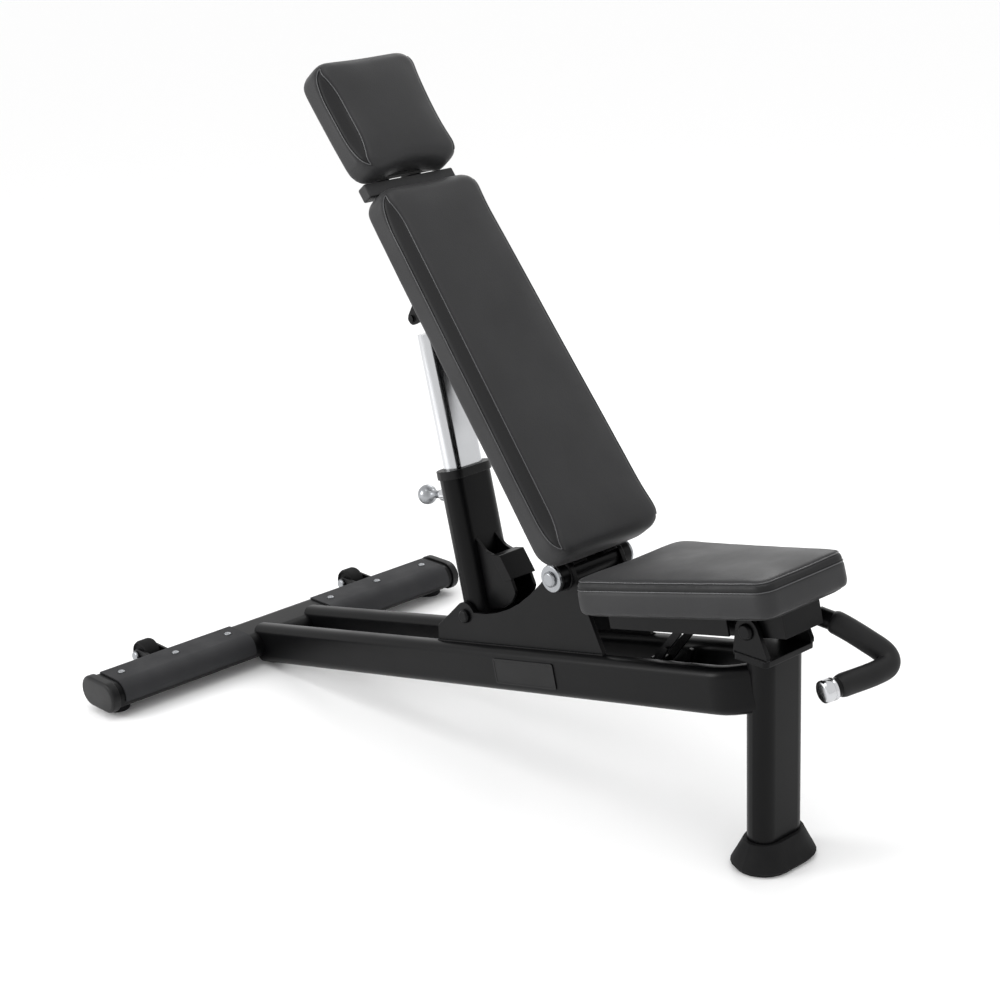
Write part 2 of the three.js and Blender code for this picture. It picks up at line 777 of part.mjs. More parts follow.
function backRail(side) {
  const y = SIDES[side];
  const low = backPlane - backRailDepth;
  const high = backPlane - GAP;
  const end = -(headStart + headLength - 45);
  const centre = y * (backRailInner + backRailWidth / 2);
  const outline = ovalShape(high - low, backRailWidth, 4);
  outline.holes.push(ovalShape(high - low - 2 * backRailWall, backRailWidth - 2 * backRailWall, 2));
  const start = new THREE.Vector3(-4, centre, (low + high) / 2);
  const finish = new THREE.Vector3(end, centre, (low + high) / 2);
  const tube = tubeAlong(new THREE.LineCurve3(start, finish), outline, 1);
  const hinge = rodY(hingeTubeRadius + GAP, -90, 90);
  return part(`back_rail_${side}`, cut(tube, hinge), "paint");
}

// The strut bar's upper eye, in the backrest's own frame.
function eyePlace() {
  const lean = radians(strutLean);
  const dx = strutX - barEye * Math.sin(lean) - axleX;
  const dz = strutZ + barEye * Math.cos(lean) - axleZ;
  const tilt = radians(backTilt);
  return [dx * Math.cos(tilt) - dz * Math.sin(tilt), dx * Math.sin(tilt) + dz * Math.cos(tilt)];
}

function clevis(side) {
  const [x, z] = eyePlace();
  const top = backPlane - backRailDepth - GAP;
  const y = SIDES[side];
  const outline = new THREE.Shape();
  const radius = clevisRadius;
  outline.moveTo(x + 24, top);
  outline.lineTo(x - 36, top);
  outline.absarc(x, z, radius, -Math.PI * 0.86, -Math.PI * 0.06, false);
  outline.closePath();
  const plate = plateXZ(outline, y * clevisInner, y * (clevisInner + clevisThick));
  const stub = rodY(clevisStubRadius, y * (clevisInner + 1), y * (clevisInner + clevisThick + 4), x, z);
  return part(`clevis_${side}`, join(plate, stub), "paint");
}

function backCross() {
  const half = backRailInner - GAP;
  const plate = block(-crossStart - crossWidth, -crossStart, -half, half, backPlane - 9, backPlane - GAP);
  return part("back_cross", plate, "paint");
}

function neckBoard() {
  const top = backPlane + neckThick;
  const board = block(-headStart + GAP, backTop - GAP, -neckHalf, neckHalf, backPlane, top);
  return part("neck_board", board, "vinyl");
}

// A plywood board and the cushion that wraps over it, down to the board's underside.
function boardAndPad(name, x0, half0, x1, half1, plane, thick) {
  const boardTop = plane + padBoard;
  const boardOutline = (inset) => taperedOutline(x0, half0, x1, half1, inset, padCorner - 6);
  const board = slabXY(boardOutline(padInset), plane, boardTop);
  const outline = taperedOutline(x0, half0, x1, half1);
  const top = plane + thick;
  const skirt = slabXY(outline, plane, top - 2 * padEdge, 0, { curveSegments: 5 });
  const crown = slabXY(outline, top - 4 * padEdge, top, padEdge, { curveSegments: 5 });
  const pocket = slabXY(boardOutline(padInset - GAP), plane - 1, boardTop + GAP);
  const pad = cut(join(skirt, crown), pocket);
  return [part(`${name}_board`, board, "board"), part(`${name}_pad`, pad, "vinyl")];
}

// ---- Seat ------------------------------------------------------------------------------------
// Drawn level about the seat pivot.

function seatChannel() {
  const top = seatPlane - GAP;
  const under = top - channelSheet;
  const deck = block(channelRear, channelFront, -channelHalf, channelHalf, under, top);
  const inside = channelHalf - channelSheet;
  const flanges = [1, -1].map((y) =>
    block(channelRear, channelMouth, y * inside, y * channelHalf, -channelDrop, top - 1),
  );
  const arms = [1, -1].map((y) =>
    block(-90, channelFront, y * (armHalf - channelSheet), y * armHalf, -armDrop, top - 1),
  );
  const nose = block(channelFront - channelSheet, channelFront, -armHalf, armHalf, -armDrop, top - 1);
  const ear = [[propX - 22, top - 1], [propX - 12, propZ - 12, 6], [propX + 12, propZ - 12, 6]];
  ear.push([propX + 22, top - 1]);
  const ears = [1, -1].map((y) =>
    plateXZ(roundedShape(ear), y * propEarInner, y * (propEarInner + propEarThick)),
  );
  const tube = rodY(seatTubeRadius, -armHalf - 2, armHalf + 2);
  const bore = rodY(seatPinRadius + RUN, -90, 90);
  const propBore = rodY(propRod + RUN, -50, 50, propX, propZ);
  const body = join(deck, ...flanges, ...arms, nose, ...ears, tube);
  return part("seat_channel", cut(body, bore, propBore), "paint");
}

function seatBoardAndPad() {
  return boardAndPad("seat", seatRear, seatRearHalf, seatFront, seatFrontHalf, seatPlane, seatThick);
}

// The prop link hangs from the seat channel and stands on the rack: two arms, a pivot rod and a foot.
function propLink() {
  const lean = radians(propAngle);
  const footX = -propLength * Math.sin(lean);
  const footZ = -propLength * Math.cos(lean);
  const armY = propArmInner + propArmThick;
  const pivot = rodY(propRod, -propEarInner - propEarThick - 3, propEarInner + propEarThick + 3);
  const foot = rodY(propRod, -armY, armY, footX, footZ);
  const arms = [1, -1].map((y) =>
    extruded(ovalShape(2 * propRod, propLength + 2 * propRod - 0.2, propRod), propArmThick)
      .rotateX(TAU / 4)
      .translate(0, y > 0 ? armY : -propArmInner, -propLength / 2)
      .rotateY(lean),
  );
  return part("prop_link", join(pivot, foot, ...arms), "paint");
}

// ---- Handle and badge ------------------------------------------------------------------------

const handlePoints = [
  [27, 71, 392],
  [60, 80, 384],
  [99, 95, 364],
  [124, 107, 346],
  [136, 98, 334],
  [134, 70, 329],
  [118, 20, 323],
  [104, -22, 318],
].map((point) => new THREE.Vector3(...point));

const handleCurve = () => new THREE.CatmullRomCurve3(handlePoints, false, "centripetal");

// A stretch of the handle's centre line between two shares of its length.
function handleStretch(from, to, count) {
  const curve = handleCurve();
  const points = [];
  for (let i = 0; i <= count; i += 1) points.push(curve.getPointAt(from + ((to - from) * i) / count));
  return new THREE.CatmullRomCurve3(points);
}

function handleTube() {
  const tube = tubeAlong(handleStretch(0, 0.985, 12), circleShape(handleRadius), 14);
  const face = lugInner + lugThick + GAP;
  const foot = rodY(handleRadius + 2, face, face + 14, handlePoints[0].x, handlePoints[0].z);
  return part("handle_tube", join(tube, foot), "paint");
}

function handleGrip() {
  const outer = tubeAlong(handleStretch(0.1, 0.93, 12), circleShape(gripRadius), 12);
  const bore = tubeAlong(handleStretch(0, 0.985, 12), circleShape(handleRadius + gripBore), 14);
  return part("handle_grip", cut(outer, bore), "rubber");
}

function handleCap() {
  const curve = handleCurve();
  const from = curve.getPointAt(0.94);
  const heading = curve.getTangentAt(0.97);
  const profile = [[0, 0], [gripRadius - 1, 0], [gripRadius - 1, handleCapLength - 2]];
  profile.push([gripRadius - 3, handleCapLength], [0, handleCapLength]);
  const cap = turned(profile);
  cap.applyQuaternion(new THREE.Quaternion().setFromUnitVectors(new THREE.Vector3(0, 1, 0), heading));
  cap.translate(from.x, from.y, from.z);
  const bore = tubeAlong(handleStretch(0, 0.985, 12), circleShape(handleRadius + gripBore), 14);
  return part("handle_cap", cut(cap, bore), "chrome");
}

function badge() {
  const face = railY + railWidth / 2;
  const outline = ovalShape(badgeLength, badgeHeight, 4);
  const plate = plateXZ(outline, -face - GAP - badgeThick, -face - GAP).translate(badgeX, 0, 0);
  return part("badge_plate", onRails(plate), "plastic");
}

// ---- Assembly --------------------------------------------------------------------------------

const both = (make) => Object.keys(SIDES).map(make);

const frame = new THREE.Group();
frame.add(frontPost(), frontBoot(), postTopPlate(), seatPivotBolt(), ...both(seatLug));
frame.add(stabilizerTube(), ...both(endCap), ...both(footPad), ...both(guard));
frame.add(...both(wheelFork), ...both(wheelAxle), ...both(wheel));
frame.add(...both(rail), ...both(sidePlate), ...both(axleHousingRing), backAxle());
frame.add(...both(axleWasher), ...both(axleBolt), ...both(strutBolt));
frame.add(seatRack(), ...both(rackProng), handleTube(), handleGrip(), handleCap(), badge());

const strut = pivotGroup(strutX, strutZ, -strutLean);
strut.add(strutSleeve(), sleeveCollar(), pinHousing(), pullPin(), restBracket(), strutBar());

const backTop = -backStart - backLength;
const headTop = -headStart - headLength;
const backrest = pivotGroup(axleX, axleZ, backTilt);
backrest.add(hingeTube(), ...both(backRail), ...both(clevis), backCross(), neckBoard());
backrest.add(
  ...boardAndPad("back", backTop, backHighHalf, -backStart, backLowHalf, backPlane, backThick),
  ...boardAndPad("head", headTop, headHighHalf, -headStart, headLowHalf, backPlane, headThick),
);

const seat = pivotGroup(seatX, seatZ, -seatTilt);
seat.add(seatChannel(), ...seatBoardAndPad());
const prop = new THREE.Group();
prop.position.set(propX, 0, propZ);
prop.rotation.y = radians(seatTilt);
prop.add(propLink());
seat.add(prop);

const laidOut = new THREE.Group();
laidOut.add(frame, strut, backrest, seat);
laidOut.updateMatrixWorld(true);
const box = new THREE.Box3().setFromObject(laidOut, true);
const centre = box.getCenter(new THREE.Vector3());
laidOut.position.set(-centre.x, -centre.y, -box.min.z);

const bench = new THREE.Group();
bench.add(laidOut);

export default bench;
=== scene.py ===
"""Looks for an adjustable weight bench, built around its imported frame.

Steel pieces are copies of the frame's nodes with eased edges, the cushions are simulated vinyl
covers with piped seams, and screws, piping and weld beads are grown by Geometry Nodes.
"""

from __future__ import annotations

import json
import logging
import math
from collections.abc import Callable, Iterable, Sequence
from dataclasses import dataclass, field
from enum import Enum

import bmesh
import bpy
from mathutils import Matrix, Vector
from mathutils.bvhtree import BVHTree
from mathutils.kdtree import KDTree

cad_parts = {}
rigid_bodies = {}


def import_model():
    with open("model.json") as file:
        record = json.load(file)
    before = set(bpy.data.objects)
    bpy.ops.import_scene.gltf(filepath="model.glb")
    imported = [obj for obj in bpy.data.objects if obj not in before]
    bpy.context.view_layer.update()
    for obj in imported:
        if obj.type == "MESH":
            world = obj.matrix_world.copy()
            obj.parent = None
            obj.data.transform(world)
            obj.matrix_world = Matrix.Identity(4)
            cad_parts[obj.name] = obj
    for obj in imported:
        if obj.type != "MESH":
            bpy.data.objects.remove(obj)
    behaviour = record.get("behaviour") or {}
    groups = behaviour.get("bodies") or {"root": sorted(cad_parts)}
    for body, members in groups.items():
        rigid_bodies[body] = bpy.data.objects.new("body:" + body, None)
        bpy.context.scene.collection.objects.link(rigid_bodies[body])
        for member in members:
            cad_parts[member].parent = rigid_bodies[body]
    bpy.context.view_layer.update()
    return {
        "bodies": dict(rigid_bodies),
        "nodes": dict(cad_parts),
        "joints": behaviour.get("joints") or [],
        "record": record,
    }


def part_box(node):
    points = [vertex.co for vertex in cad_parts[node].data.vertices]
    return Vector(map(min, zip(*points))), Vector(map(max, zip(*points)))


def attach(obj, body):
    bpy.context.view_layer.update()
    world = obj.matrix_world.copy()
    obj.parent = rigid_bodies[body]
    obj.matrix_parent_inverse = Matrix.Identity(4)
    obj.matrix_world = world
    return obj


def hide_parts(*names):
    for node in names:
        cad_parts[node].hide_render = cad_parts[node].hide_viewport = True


log = logging.getLogger("bench")

MM = 0.001
TAU = math.tau


# ---- Finishes --------------------------------------------------------------------------------


def linear(colour: str) -> tuple[float, float, float, float]:
    """Turns an sRGB hex colour to the linear values that a shader takes.

    Args:
        colour: Six hex digits, such as "2b2b2d".

    Returns:
        Red, green, blue and an alpha of 1.
    """
    channels = [int(colour[i : i + 2], 16) / 255 for i in (0, 2, 4)]
    red, green, blue = (c / 12.92 if c <= 0.04045 else ((c + 0.055) / 1.055) ** 2.4 for c in channels)
    return red, green, blue, 1.0


def add(tree: bpy.types.NodeTree, kind: str, inputs: dict | None = None,
        **settings: object) -> bpy.types.Node:
    """Adds one node to a tree, sets it and links it.

    Args:
        tree: A shader or geometry tree.
        kind: The node's type name.
        inputs: Input name or number to a value, or to another node's output socket.
        **settings: Attributes of the node itself.

    Returns:
        The new node.
    """
    node = tree.nodes.new(kind)
    for key, value in settings.items():
        setattr(node, key, value)
    for key, value in (inputs or {}).items():
        if isinstance(value, bpy.types.NodeSocket):
            tree.links.new(value, node.inputs[key])
        else:
            node.inputs[key].default_value = value
    return node


class Relief(Enum):
    """How a surface's fine relief was made."""

    PEBBLE = "pebbled cells, as embossed vinyl or a moulded grain"
    PEEL = "the soft ripple of a sprayed or powdered coat"
    STREAK = "fine lines along one direction, as drawn or polished metal"
    WEAVE = "crossed threads"


@dataclass(frozen=True)
class Finish:
    """A real material and the process that made its surface.

    Attributes:
        title: The material's name.
        colour: Its usual colour, as sRGB hex.
        shade: The colour that it drifts to in random patches, and the painted shade of the strip along a
            cushion's seams.
        smooth: Lowest roughness of the surface.
        rough: Highest roughness of the surface.
        relief: How its fine relief was made.
        grain: Size of one cell, ripple or thread of the relief, in millimetres.
        depth: Height of the relief, in millimetres.
        patch: Size of the patches of colour and wear, in millimetres.
        metallic: 1 for bare or plated metal.
        ior: Index of refraction, for what isn't metal.
        sheen: Sheen of fibres or of a matt skin.
        coat: Strength of a clear top coat.
    """

    title: str
    colour: str
    shade: str
    smooth: float
    rough: float
    relief: Relief
    grain: float
    depth: float
    patch: float = 60.0
    metallic: float = 0.0
    ior: float = 1.5
    sheen: float = 0.0
    coat: float = 0.0

    def height(self, tree: bpy.types.NodeTree, place: bpy.types.NodeSocket) -> bpy.types.NodeSocket:
        """Adds the texture that holds the relief.

        Args:
            tree: The material's node tree.
            place: Object coordinates, in metres.

        Returns:
            The relief's height, from 0 to 1.
        """
        cells = 1 / (self.grain * MM)
        if self.relief is Relief.PEBBLE:
            cell = add(tree, "ShaderNodeTexVoronoi", {"Vector": place, "Scale": cells, "Smoothness": 0.35},
                       feature="SMOOTH_F1")
            return cell.outputs["Distance"]
        if self.relief is Relief.PEEL:
            ripple = add(tree, "ShaderNodeTexNoise", {"Vector": place, "Scale": cells, "Detail": 1.5})
            return ripple.outputs["Fac"]
        if self.relief is Relief.STREAK:
            drawn = add(tree, "ShaderNodeMapping", {"Vector": place, "Scale": (1.0, 1.0, 0.02)})
            line = add(tree, "ShaderNodeTexNoise", {"Vector": drawn.outputs["Vector"], "Scale": cells,
                                                    "Detail": 2.0})
            return line.outputs["Fac"]
        warp = add(tree, "ShaderNodeTexWave", {"Vector": place, "Scale": cells / 2}, bands_direction="X")
        weft = add(tree, "ShaderNodeTexWave", {"Vector": place, "Scale": cells / 2}, bands_direction="Y")
        cloth = add(tree, "ShaderNodeMath", {0: warp.outputs["Fac"], 1: weft.outputs["Fac"]},
                    operation="MAXIMUM")
        return cloth.outputs["Value"]

    def build(self) -> bpy.types.Material:
        """Builds the material. A mesh's "strip" attribute, where it has one, darkens it towards the shade
        colour: painted shade on a cushion's strip.
        """
        material = bpy.data.materials.new(self.title)
        material.use_nodes = True
        tree = material.node_tree
        tree.nodes.clear()
        place = add(tree, "ShaderNodeTexCoord").outputs["Object"]
        patches = add(tree, "ShaderNodeTexNoise",
                      {"Vector": place, "Scale": 1 / (self.patch * MM), "Detail": 4.0}).outputs["Fac"]
        # Painted shade: the "strip" attribute darkens a cushion's strip between its seams, which turns away
        # from the light.
        strip = add(tree, "ShaderNodeAttribute", attribute_name="strip").outputs["Fac"]
        share = add(tree, "ShaderNodeMath", {0: patches, 1: 0.3}, operation="MULTIPLY").outputs["Value"]
        mottle_and_painted_shade = add(tree, "ShaderNodeMath", {0: share, 1: strip}, operation="ADD", use_clamp=True)
        tint = add(tree, "ShaderNodeMix", {"Factor": mottle_and_painted_shade.outputs["Value"], 6: linear(self.colour),
                                           7: linear(self.shade)}, data_type="RGBA")
        gloss = add(tree, "ShaderNodeMapRange", {"Value": patches, "From Min": 0.3, "From Max": 0.7,
                                                 "To Min": self.smooth, "To Max": self.rough})
        bump = add(tree, "ShaderNodeBump", {"Height": self.height(tree, place), "Strength": 0.7,
                                            "Distance": self.depth * MM})
        shader = add(tree, "ShaderNodeBsdfPrincipled",
                     {"Base Color": tint.outputs[2], "Roughness": gloss.outputs["Result"],
                      "Normal": bump.outputs["Normal"], "Metallic": self.metallic, "IOR": self.ior,
                      "Sheen Weight": self.sheen, "Coat Weight": self.coat, "Coat Roughness": 0.25})
        add(tree, "ShaderNodeOutputMaterial", {"Surface": shader.outputs["BSDF"]})
        return material


# Calendered vinyl with a pressed leather grain: matt, with a faint sheen where it turns away.
# The grain of 1 mm is drawn at 2.4 mm so that it shows.
# Its shade colour also paints the shade on the strip between a cushion's seams.
VINYL = Finish("embossed upholstery vinyl", "2b2b2c", "111112", 0.44, 0.58, Relief.PEBBLE, 2.4, 0.14,
               patch=90, ior=1.33, sheen=0.03)
# Piping of the same vinyl, smoother and shinier where it is stretched over its cord. Its colour is painted
# lighter than the vinyl's, a painted highlight along the seams.
PIPING = Finish("vinyl piping", "3a3a3c", "29292a", 0.24, 0.34, Relief.PEEL, 3.0, 0.05, patch=50, coat=0.3)
# Epoxy powder baked on steel: satin black with a slight orange peel.
POWDER = Finish("satin powder coat on steel", "070708", "040405", 0.28, 0.40, Relief.PEEL, 2.6, 0.10,
                patch=120, ior=1.24)
# Fillets of the same coat over MIG beads, which hold more dust and shine less.
BEAD = Finish("powder-coated weld bead", "080809", "050506", 0.40, 0.55, Relief.PEEL, 1.5, 0.12, ior=1.26)
# Natural rubber moulded with carbon black: deep matt black with dusty patches.
RUBBER = Finish("moulded black rubber", "0c0c0d", "131314", 0.60, 0.80, Relief.PEEL, 2.0, 0.12, patch=45,
                ior=1.28)
# Foamed grip, a little coarser and softer than solid rubber.
GRIP = Finish("dipped foam rubber grip", "131314", "0c0c0d", 0.46, 0.64, Relief.PEBBLE, 1.6, 0.10,
              patch=40, ior=1.34)
# Injection-moulded polypropylene: black, with the even sheen of its mould.
PLASTIC = Finish("moulded polypropylene", "0b0b0c", "111112", 0.34, 0.48, Relief.PEEL, 2.2, 0.06,
                 patch=50, ior=1.32)
# Thermoformed ABS sheet with a haircell grain that takes the scuffs of feet.
GUARD = Finish("haircell ABS sheet", "29292b", "1e1f20", 0.56, 0.76, Relief.PEBBLE, 2.6, 0.20, patch=70,
               ior=1.33)
# Bright chromium over polished steel: near-mirror, with faint lines of the polishing belt.
CHROME = Finish("bright chrome plate", "cbccce", "adafb2", 0.10, 0.22, Relief.STREAK, 2.0, 0.02,
                patch=80, metallic=1.0)
# Zinc plate on small fasteners and the knob: a satin grey, slightly cloudy.
ZINC = Finish("satin zinc plate", "9c9ea1", "7f8184", 0.26, 0.40, Relief.PEEL, 3.0, 0.05, patch=12,
              metallic=1.0)
# Woven polypropylene stapled under the boards: dull black threads, drawn at 3 mm so that they show.
BACKING = Finish("woven backing cloth", "141415", "0c0c0d", 0.85, 0.95, Relief.WEAVE, 3.0, 0.3, sheen=0.1)


# ---- Making and placing ----------------------------------------------------------------------


@dataclass
class Workshop:
    """Attributes:
        built: Materials already made, by title.
    """

    frame: dict
    built: dict[str, bpy.types.Material] = field(default_factory=dict)

    def material(self, finish: Finish) -> bpy.types.Material:
        """Returns the finish's material, building it the first time."""
        if finish.title not in self.built:
            self.built[finish.title] = finish.build()
        return self.built[finish.title]

    def body_of(self, node: str) -> str:
        """Returns the body that a node of the frame belongs to."""
        bodies = self.frame["record"]["behaviour"]["bodies"]
        return next(body for body, members in bodies.items() if node in members)

    def joint(self, name: str) -> dict:
        """Returns a joint of the frame by name."""
        return next(joint for joint in self.frame["joints"] if joint["name"] == name)

    def piece(self, name: str, mesh: bpy.types.Mesh, finish: Finish | None = None) -> bpy.types.Object:
        """Wraps a mesh in an object at the origin.

        Args:
            name: The object's name.
            mesh: Its mesh, already in place in the row frame.
            finish: Its finish, or None if the mesh has its materials.

        Returns:
            The new object, linked to the scene.
        """
        mesh.name = name
        if finish is not None:
            mesh.materials.clear()
            mesh.materials.append(self.material(finish))
        made = bpy.data.objects.new(name, mesh)
        bpy.context.scene.collection.objects.link(made)
        return made

    def settle(self, piece: bpy.types.Object, body: str, slot: str, *nodes: str) -> None:
        """Makes a piece ride on a body, and hides the nodes of the frame that it stands for.

        Args:
            piece: A finished piece.
            body: The body that it moves with.
            slot: Not used.
            *nodes: Nodes of the frame that it replaces.
        """
        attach(piece, body)
        if nodes:
            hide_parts(*nodes)
        log.info("%s rides on %s, %d faces", piece.name, body, len(piece.data.polygons))


def centre_of(node: str) -> Vector:
    """Returns the middle of a node's box."""
    low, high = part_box(node)
    return (low + high) / 2


def mesh_from(bm: bmesh.types.BMesh, smooth: bool = True) -> bpy.types.Mesh:
    """Turns a bmesh to a mesh and frees it.

    Args:
        bm: The bmesh.
        smooth: Whether its faces shade smooth.

    Returns:
        The new mesh.
    """
    mesh = bpy.data.meshes.new("made")
    bm.to_mesh(mesh)
    bm.free()
    if smooth:
        mesh.shade_smooth()
    else:
        mesh.shade_flat()
    return mesh


def frozen(source: bpy.types.Object) -> bpy.types.Mesh:
    """Returns the plain mesh of an object with its modifiers applied, and removes the object."""
    bpy.context.view_layer.update()
    graph = bpy.context.evaluated_depsgraph_get()
    mesh = bpy.data.meshes.new_from_object(source.evaluated_get(graph))
    bpy.data.objects.remove(source)
    return mesh


def surface_of(node: bpy.types.Object) -> BVHTree:
    """Returns a tree of a node's faces, for casting rays at it."""
    bm = bmesh.new()
    bm.from_mesh(node.data)
    tree = BVHTree.FromBMesh(bm)
    bm.free()
    return tree


def stack_of_rings(rings: Sequence[Sequence[Vector]]) -> bpy.types.Mesh:
    """Skins closed rings of equal length into one closed surface with flat ends.

    Args:
        rings: Rings in order along the shape.

    Returns:
        The mesh, with its faces turned outwards.
    """
    bm = bmesh.new()
    loops = [[bm.verts.new(point) for point in ring] for ring in rings]
    count = len(rings[0])
    for lower, upper in zip(loops, loops[1:]):
        for i in range(count):
            j = (i + 1) % count
            bm.faces.new((lower[i], lower[j], upper[j], upper[i]))
    bm.faces.new(list(reversed(loops[0])))
    bm.faces.new(loops[-1])
    bmesh.ops.recalc_face_normals(bm, faces=bm.faces[:])
    return mesh_from(bm)


def swept(route: Sequence[Vector], radius: Callable[[float], float], sides: int = 40) -> bpy.types.Mesh:
    """Sweeps a circle along a route.

    Args:
        route: Points of the centre line.
        radius: Radius at a share of the route's length from 0 to 1.
        sides: Points round the circle.

    Returns:
        The closed mesh.
    """
    rings = []
    across = Vector((0.0, 0.0, 1.0))
    for i, point in enumerate(route):
        along = (route[min(i + 1, len(route) - 1)] - route[max(i - 1, 0)]).normalized()
        side = along.cross(across).normalized()
        across = side.cross(along).normalized()
        size = radius(i / (len(route) - 1))
        turns = [k * TAU / sides for k in range(sides)]
        rings.append([point + size * (math.cos(t) * side + math.sin(t) * across) for t in turns])
    return stack_of_rings(rings)


def lathed(profile: Sequence[tuple[float, float]], start: Vector, along: Vector,
           sides: int = 56) -> bpy.types.Mesh:
    """Turns a profile about a line.

    Args:
        profile: Distance along the line and radius there, in metres.
        start: Where the line starts.
        along: The line's direction.
        sides: Points round the turned shape.

    Returns:
        The closed mesh.
    """
    turn = Vector((0.0, 0.0, 1.0)).rotation_difference(along).to_matrix()
    rings = []
    for reach, size in profile:
        circle = [Vector((size * math.cos(k * TAU / sides), size * math.sin(k * TAU / sides), reach))
                  for k in range(sides)]
        rings.append([start + turn @ point for point in circle])
    return stack_of_rings(rings)


# ---- Geometry Nodes --------------------------------------------------------------------------


def new_tree(name: str, sockets: dict[str, str]) -> tuple[bpy.types.NodeTree, bpy.types.Node]:
    """Starts a geometry tree with named inputs and one output.

    Args:
        name: The tree's name.
        sockets: Input name to socket type, after the first input, which is "Path".

    Returns:
        The tree and its input node.
    """
    tree = bpy.data.node_groups.new(name, "GeometryNodeTree")
    tree.is_modifier = True
    for label, kind in {"Path": "NodeSocketGeometry", **sockets}.items():
        tree.interface.new_socket(name=label, in_out="INPUT", socket_type=kind)
    tree.interface.new_socket(name="Geometry", in_out="OUTPUT", socket_type="NodeSocketGeometry")
    return tree, add(tree, "NodeGroupInput")


def end_tree(tree: bpy.types.NodeTree, given: bpy.types.Node, shape: bpy.types.NodeSocket) -> None:
    """Ends a tree: realised, smooth and with its material set."""
    real = add(tree, "GeometryNodeRealizeInstances", {"Geometry": shape})
    smooth = add(tree, "GeometryNodeSetShadeSmooth", {"Geometry": real.outputs["Geometry"]})
    dressed = add(tree, "GeometryNodeSetMaterial", {"Geometry": smooth.outputs["Geometry"],
                                                    "Material": given.outputs["Material"]})
    add(tree, "NodeGroupOutput", {"Geometry": dressed.outputs["Geometry"]})


def bead_tree() -> bpy.types.NodeTree:
    """Builds the tree that lays overlapping weld beads along a path."""
    tree, given = new_tree("weld beads", {"Pitch": "NodeSocketFloat", "Radius": "NodeSocketFloat",
                                          "Seed": "NodeSocketInt", "Material": "NodeSocketMaterial"})
    curve = add(tree, "GeometryNodeMeshToCurve", {"Mesh": given.outputs["Path"]})
    steps = add(tree, "GeometryNodeResampleCurve", {"Curve": curve.outputs["Curve"],
                                                    "Length": given.outputs["Pitch"]}, mode="LENGTH")
    bead = add(tree, "GeometryNodeMeshIcoSphere", {"Radius": given.outputs["Radius"], "Subdivisions": 2})
    size = add(tree, "FunctionNodeRandomValue", {2: 0.85, 3: 1.15, 8: given.outputs["Seed"]},
               data_type="FLOAT")
    laid = add(tree, "GeometryNodeInstanceOnPoints", {"Points": steps.outputs["Curve"],
                                                      "Instance": bead.outputs["Mesh"],
                                                      "Scale": size.outputs[1]})
    end_tree(tree, given, laid.outputs["Instances"])
    return tree


def piping_tree() -> bpy.types.NodeTree:
    """Builds the tree that runs a round cord along a path."""
    tree, given = new_tree("piping", {"Radius": "NodeSocketFloat", "Material": "NodeSocketMaterial"})
    curve = add(tree, "GeometryNodeMeshToCurve", {"Mesh": given.outputs["Path"]})
    ring = add(tree, "GeometryNodeCurvePrimitiveCircle", {"Resolution": 10,
                                                          "Radius": given.outputs["Radius"]})
    cord = add(tree, "GeometryNodeCurveToMesh", {"Curve": curve.outputs["Curve"],
                                                 "Profile Curve": ring.outputs["Curve"]})
    end_tree(tree, given, cord.outputs["Mesh"])
    return tree


def screw_tree() -> bpy.types.NodeTree:
    """Builds the tree that sets a socket-headed screw on each point, facing one way."""
    tree, given = new_tree("screws", {"Radius": "NodeSocketFloat", "Height": "NodeSocketFloat",
                                      "Facing": "NodeSocketVector", "Material": "NodeSocketMaterial"})
    crown = add(tree, "ShaderNodeMath", {0: given.outputs["Radius"], 1: 0.72}, operation="MULTIPLY")
    head = add(tree, "GeometryNodeMeshCone", {"Vertices": 28, "Radius Bottom": given.outputs["Radius"],
                                              "Radius Top": crown.outputs["Value"],
                                              "Depth": given.outputs["Height"]})
    key = add(tree, "ShaderNodeMath", {0: given.outputs["Radius"], 1: 0.4}, operation="MULTIPLY")
    socket = add(tree, "GeometryNodeMeshCylinder", {"Vertices": 6, "Radius": key.outputs["Value"],
                                                    "Depth": given.outputs["Height"]})
    lift = add(tree, "ShaderNodeCombineXYZ", {"Z": given.outputs["Height"]})
    raised = add(tree, "GeometryNodeTransform", {"Geometry": socket.outputs["Mesh"],
                                                 "Translation": lift.outputs["Vector"]})
    screw = add(tree, "GeometryNodeMeshBoolean", {"Mesh 1": head.outputs["Mesh"],
                                                  "Mesh 2": raised.outputs["Geometry"]},
                operation="DIFFERENCE")
    facing = add(tree, "FunctionNodeAlignRotationToVector", {"Vector": given.outputs["Facing"]}, axis="Z")
    points = add(tree, "GeometryNodeMeshToPoints", {"Mesh": given.outputs["Path"]})
    laid = add(tree, "GeometryNodeInstanceOnPoints", {"Points": points.outputs["Points"],
                                                      "Instance": screw.outputs["Mesh"],
                                                      "Rotation": facing.outputs["Rotation"]})
    end_tree(tree, given, laid.outputs["Instances"])
    return tree


def grown(paths: Iterable[Sequence[Vector]], closed: bool, tree: bpy.types.NodeTree,
          **values: object) -> bpy.types.Mesh:
    """Runs a geometry tree on paths.

    Args:
        paths: Lists of points, each one joined in order.
        closed: Whether each path comes back to its start.
        tree: The geometry tree.
        **values: The tree's inputs, by name.

    Returns:
        The plain mesh that the tree makes.
    """
    bm = bmesh.new()
    for path in paths:
        knots = [bm.verts.new(point) for point in path]
        pairs = zip(knots, knots[1:] + knots[:1]) if closed else zip(knots, knots[1:])
        for a, b in pairs:
            bm.edges.new((a, b))
    mesh = bpy.data.meshes.new("path")
    bm.to_mesh(mesh)
    bm.free()
    holder = bpy.data.objects.new("path", mesh)
    bpy.context.scene.collection.objects.link(holder)
    modifier = holder.modifiers.new("grow", "NODES")
    modifier.node_group = tree
    for item in tree.interface.items_tree:
        if item.name in values and item.in_out == "INPUT":
            modifier[item.identifier] = values[item.name]
    return frozen(holder)


# ---- Steel, rubber and plastic pieces ---------------------------------------------------------


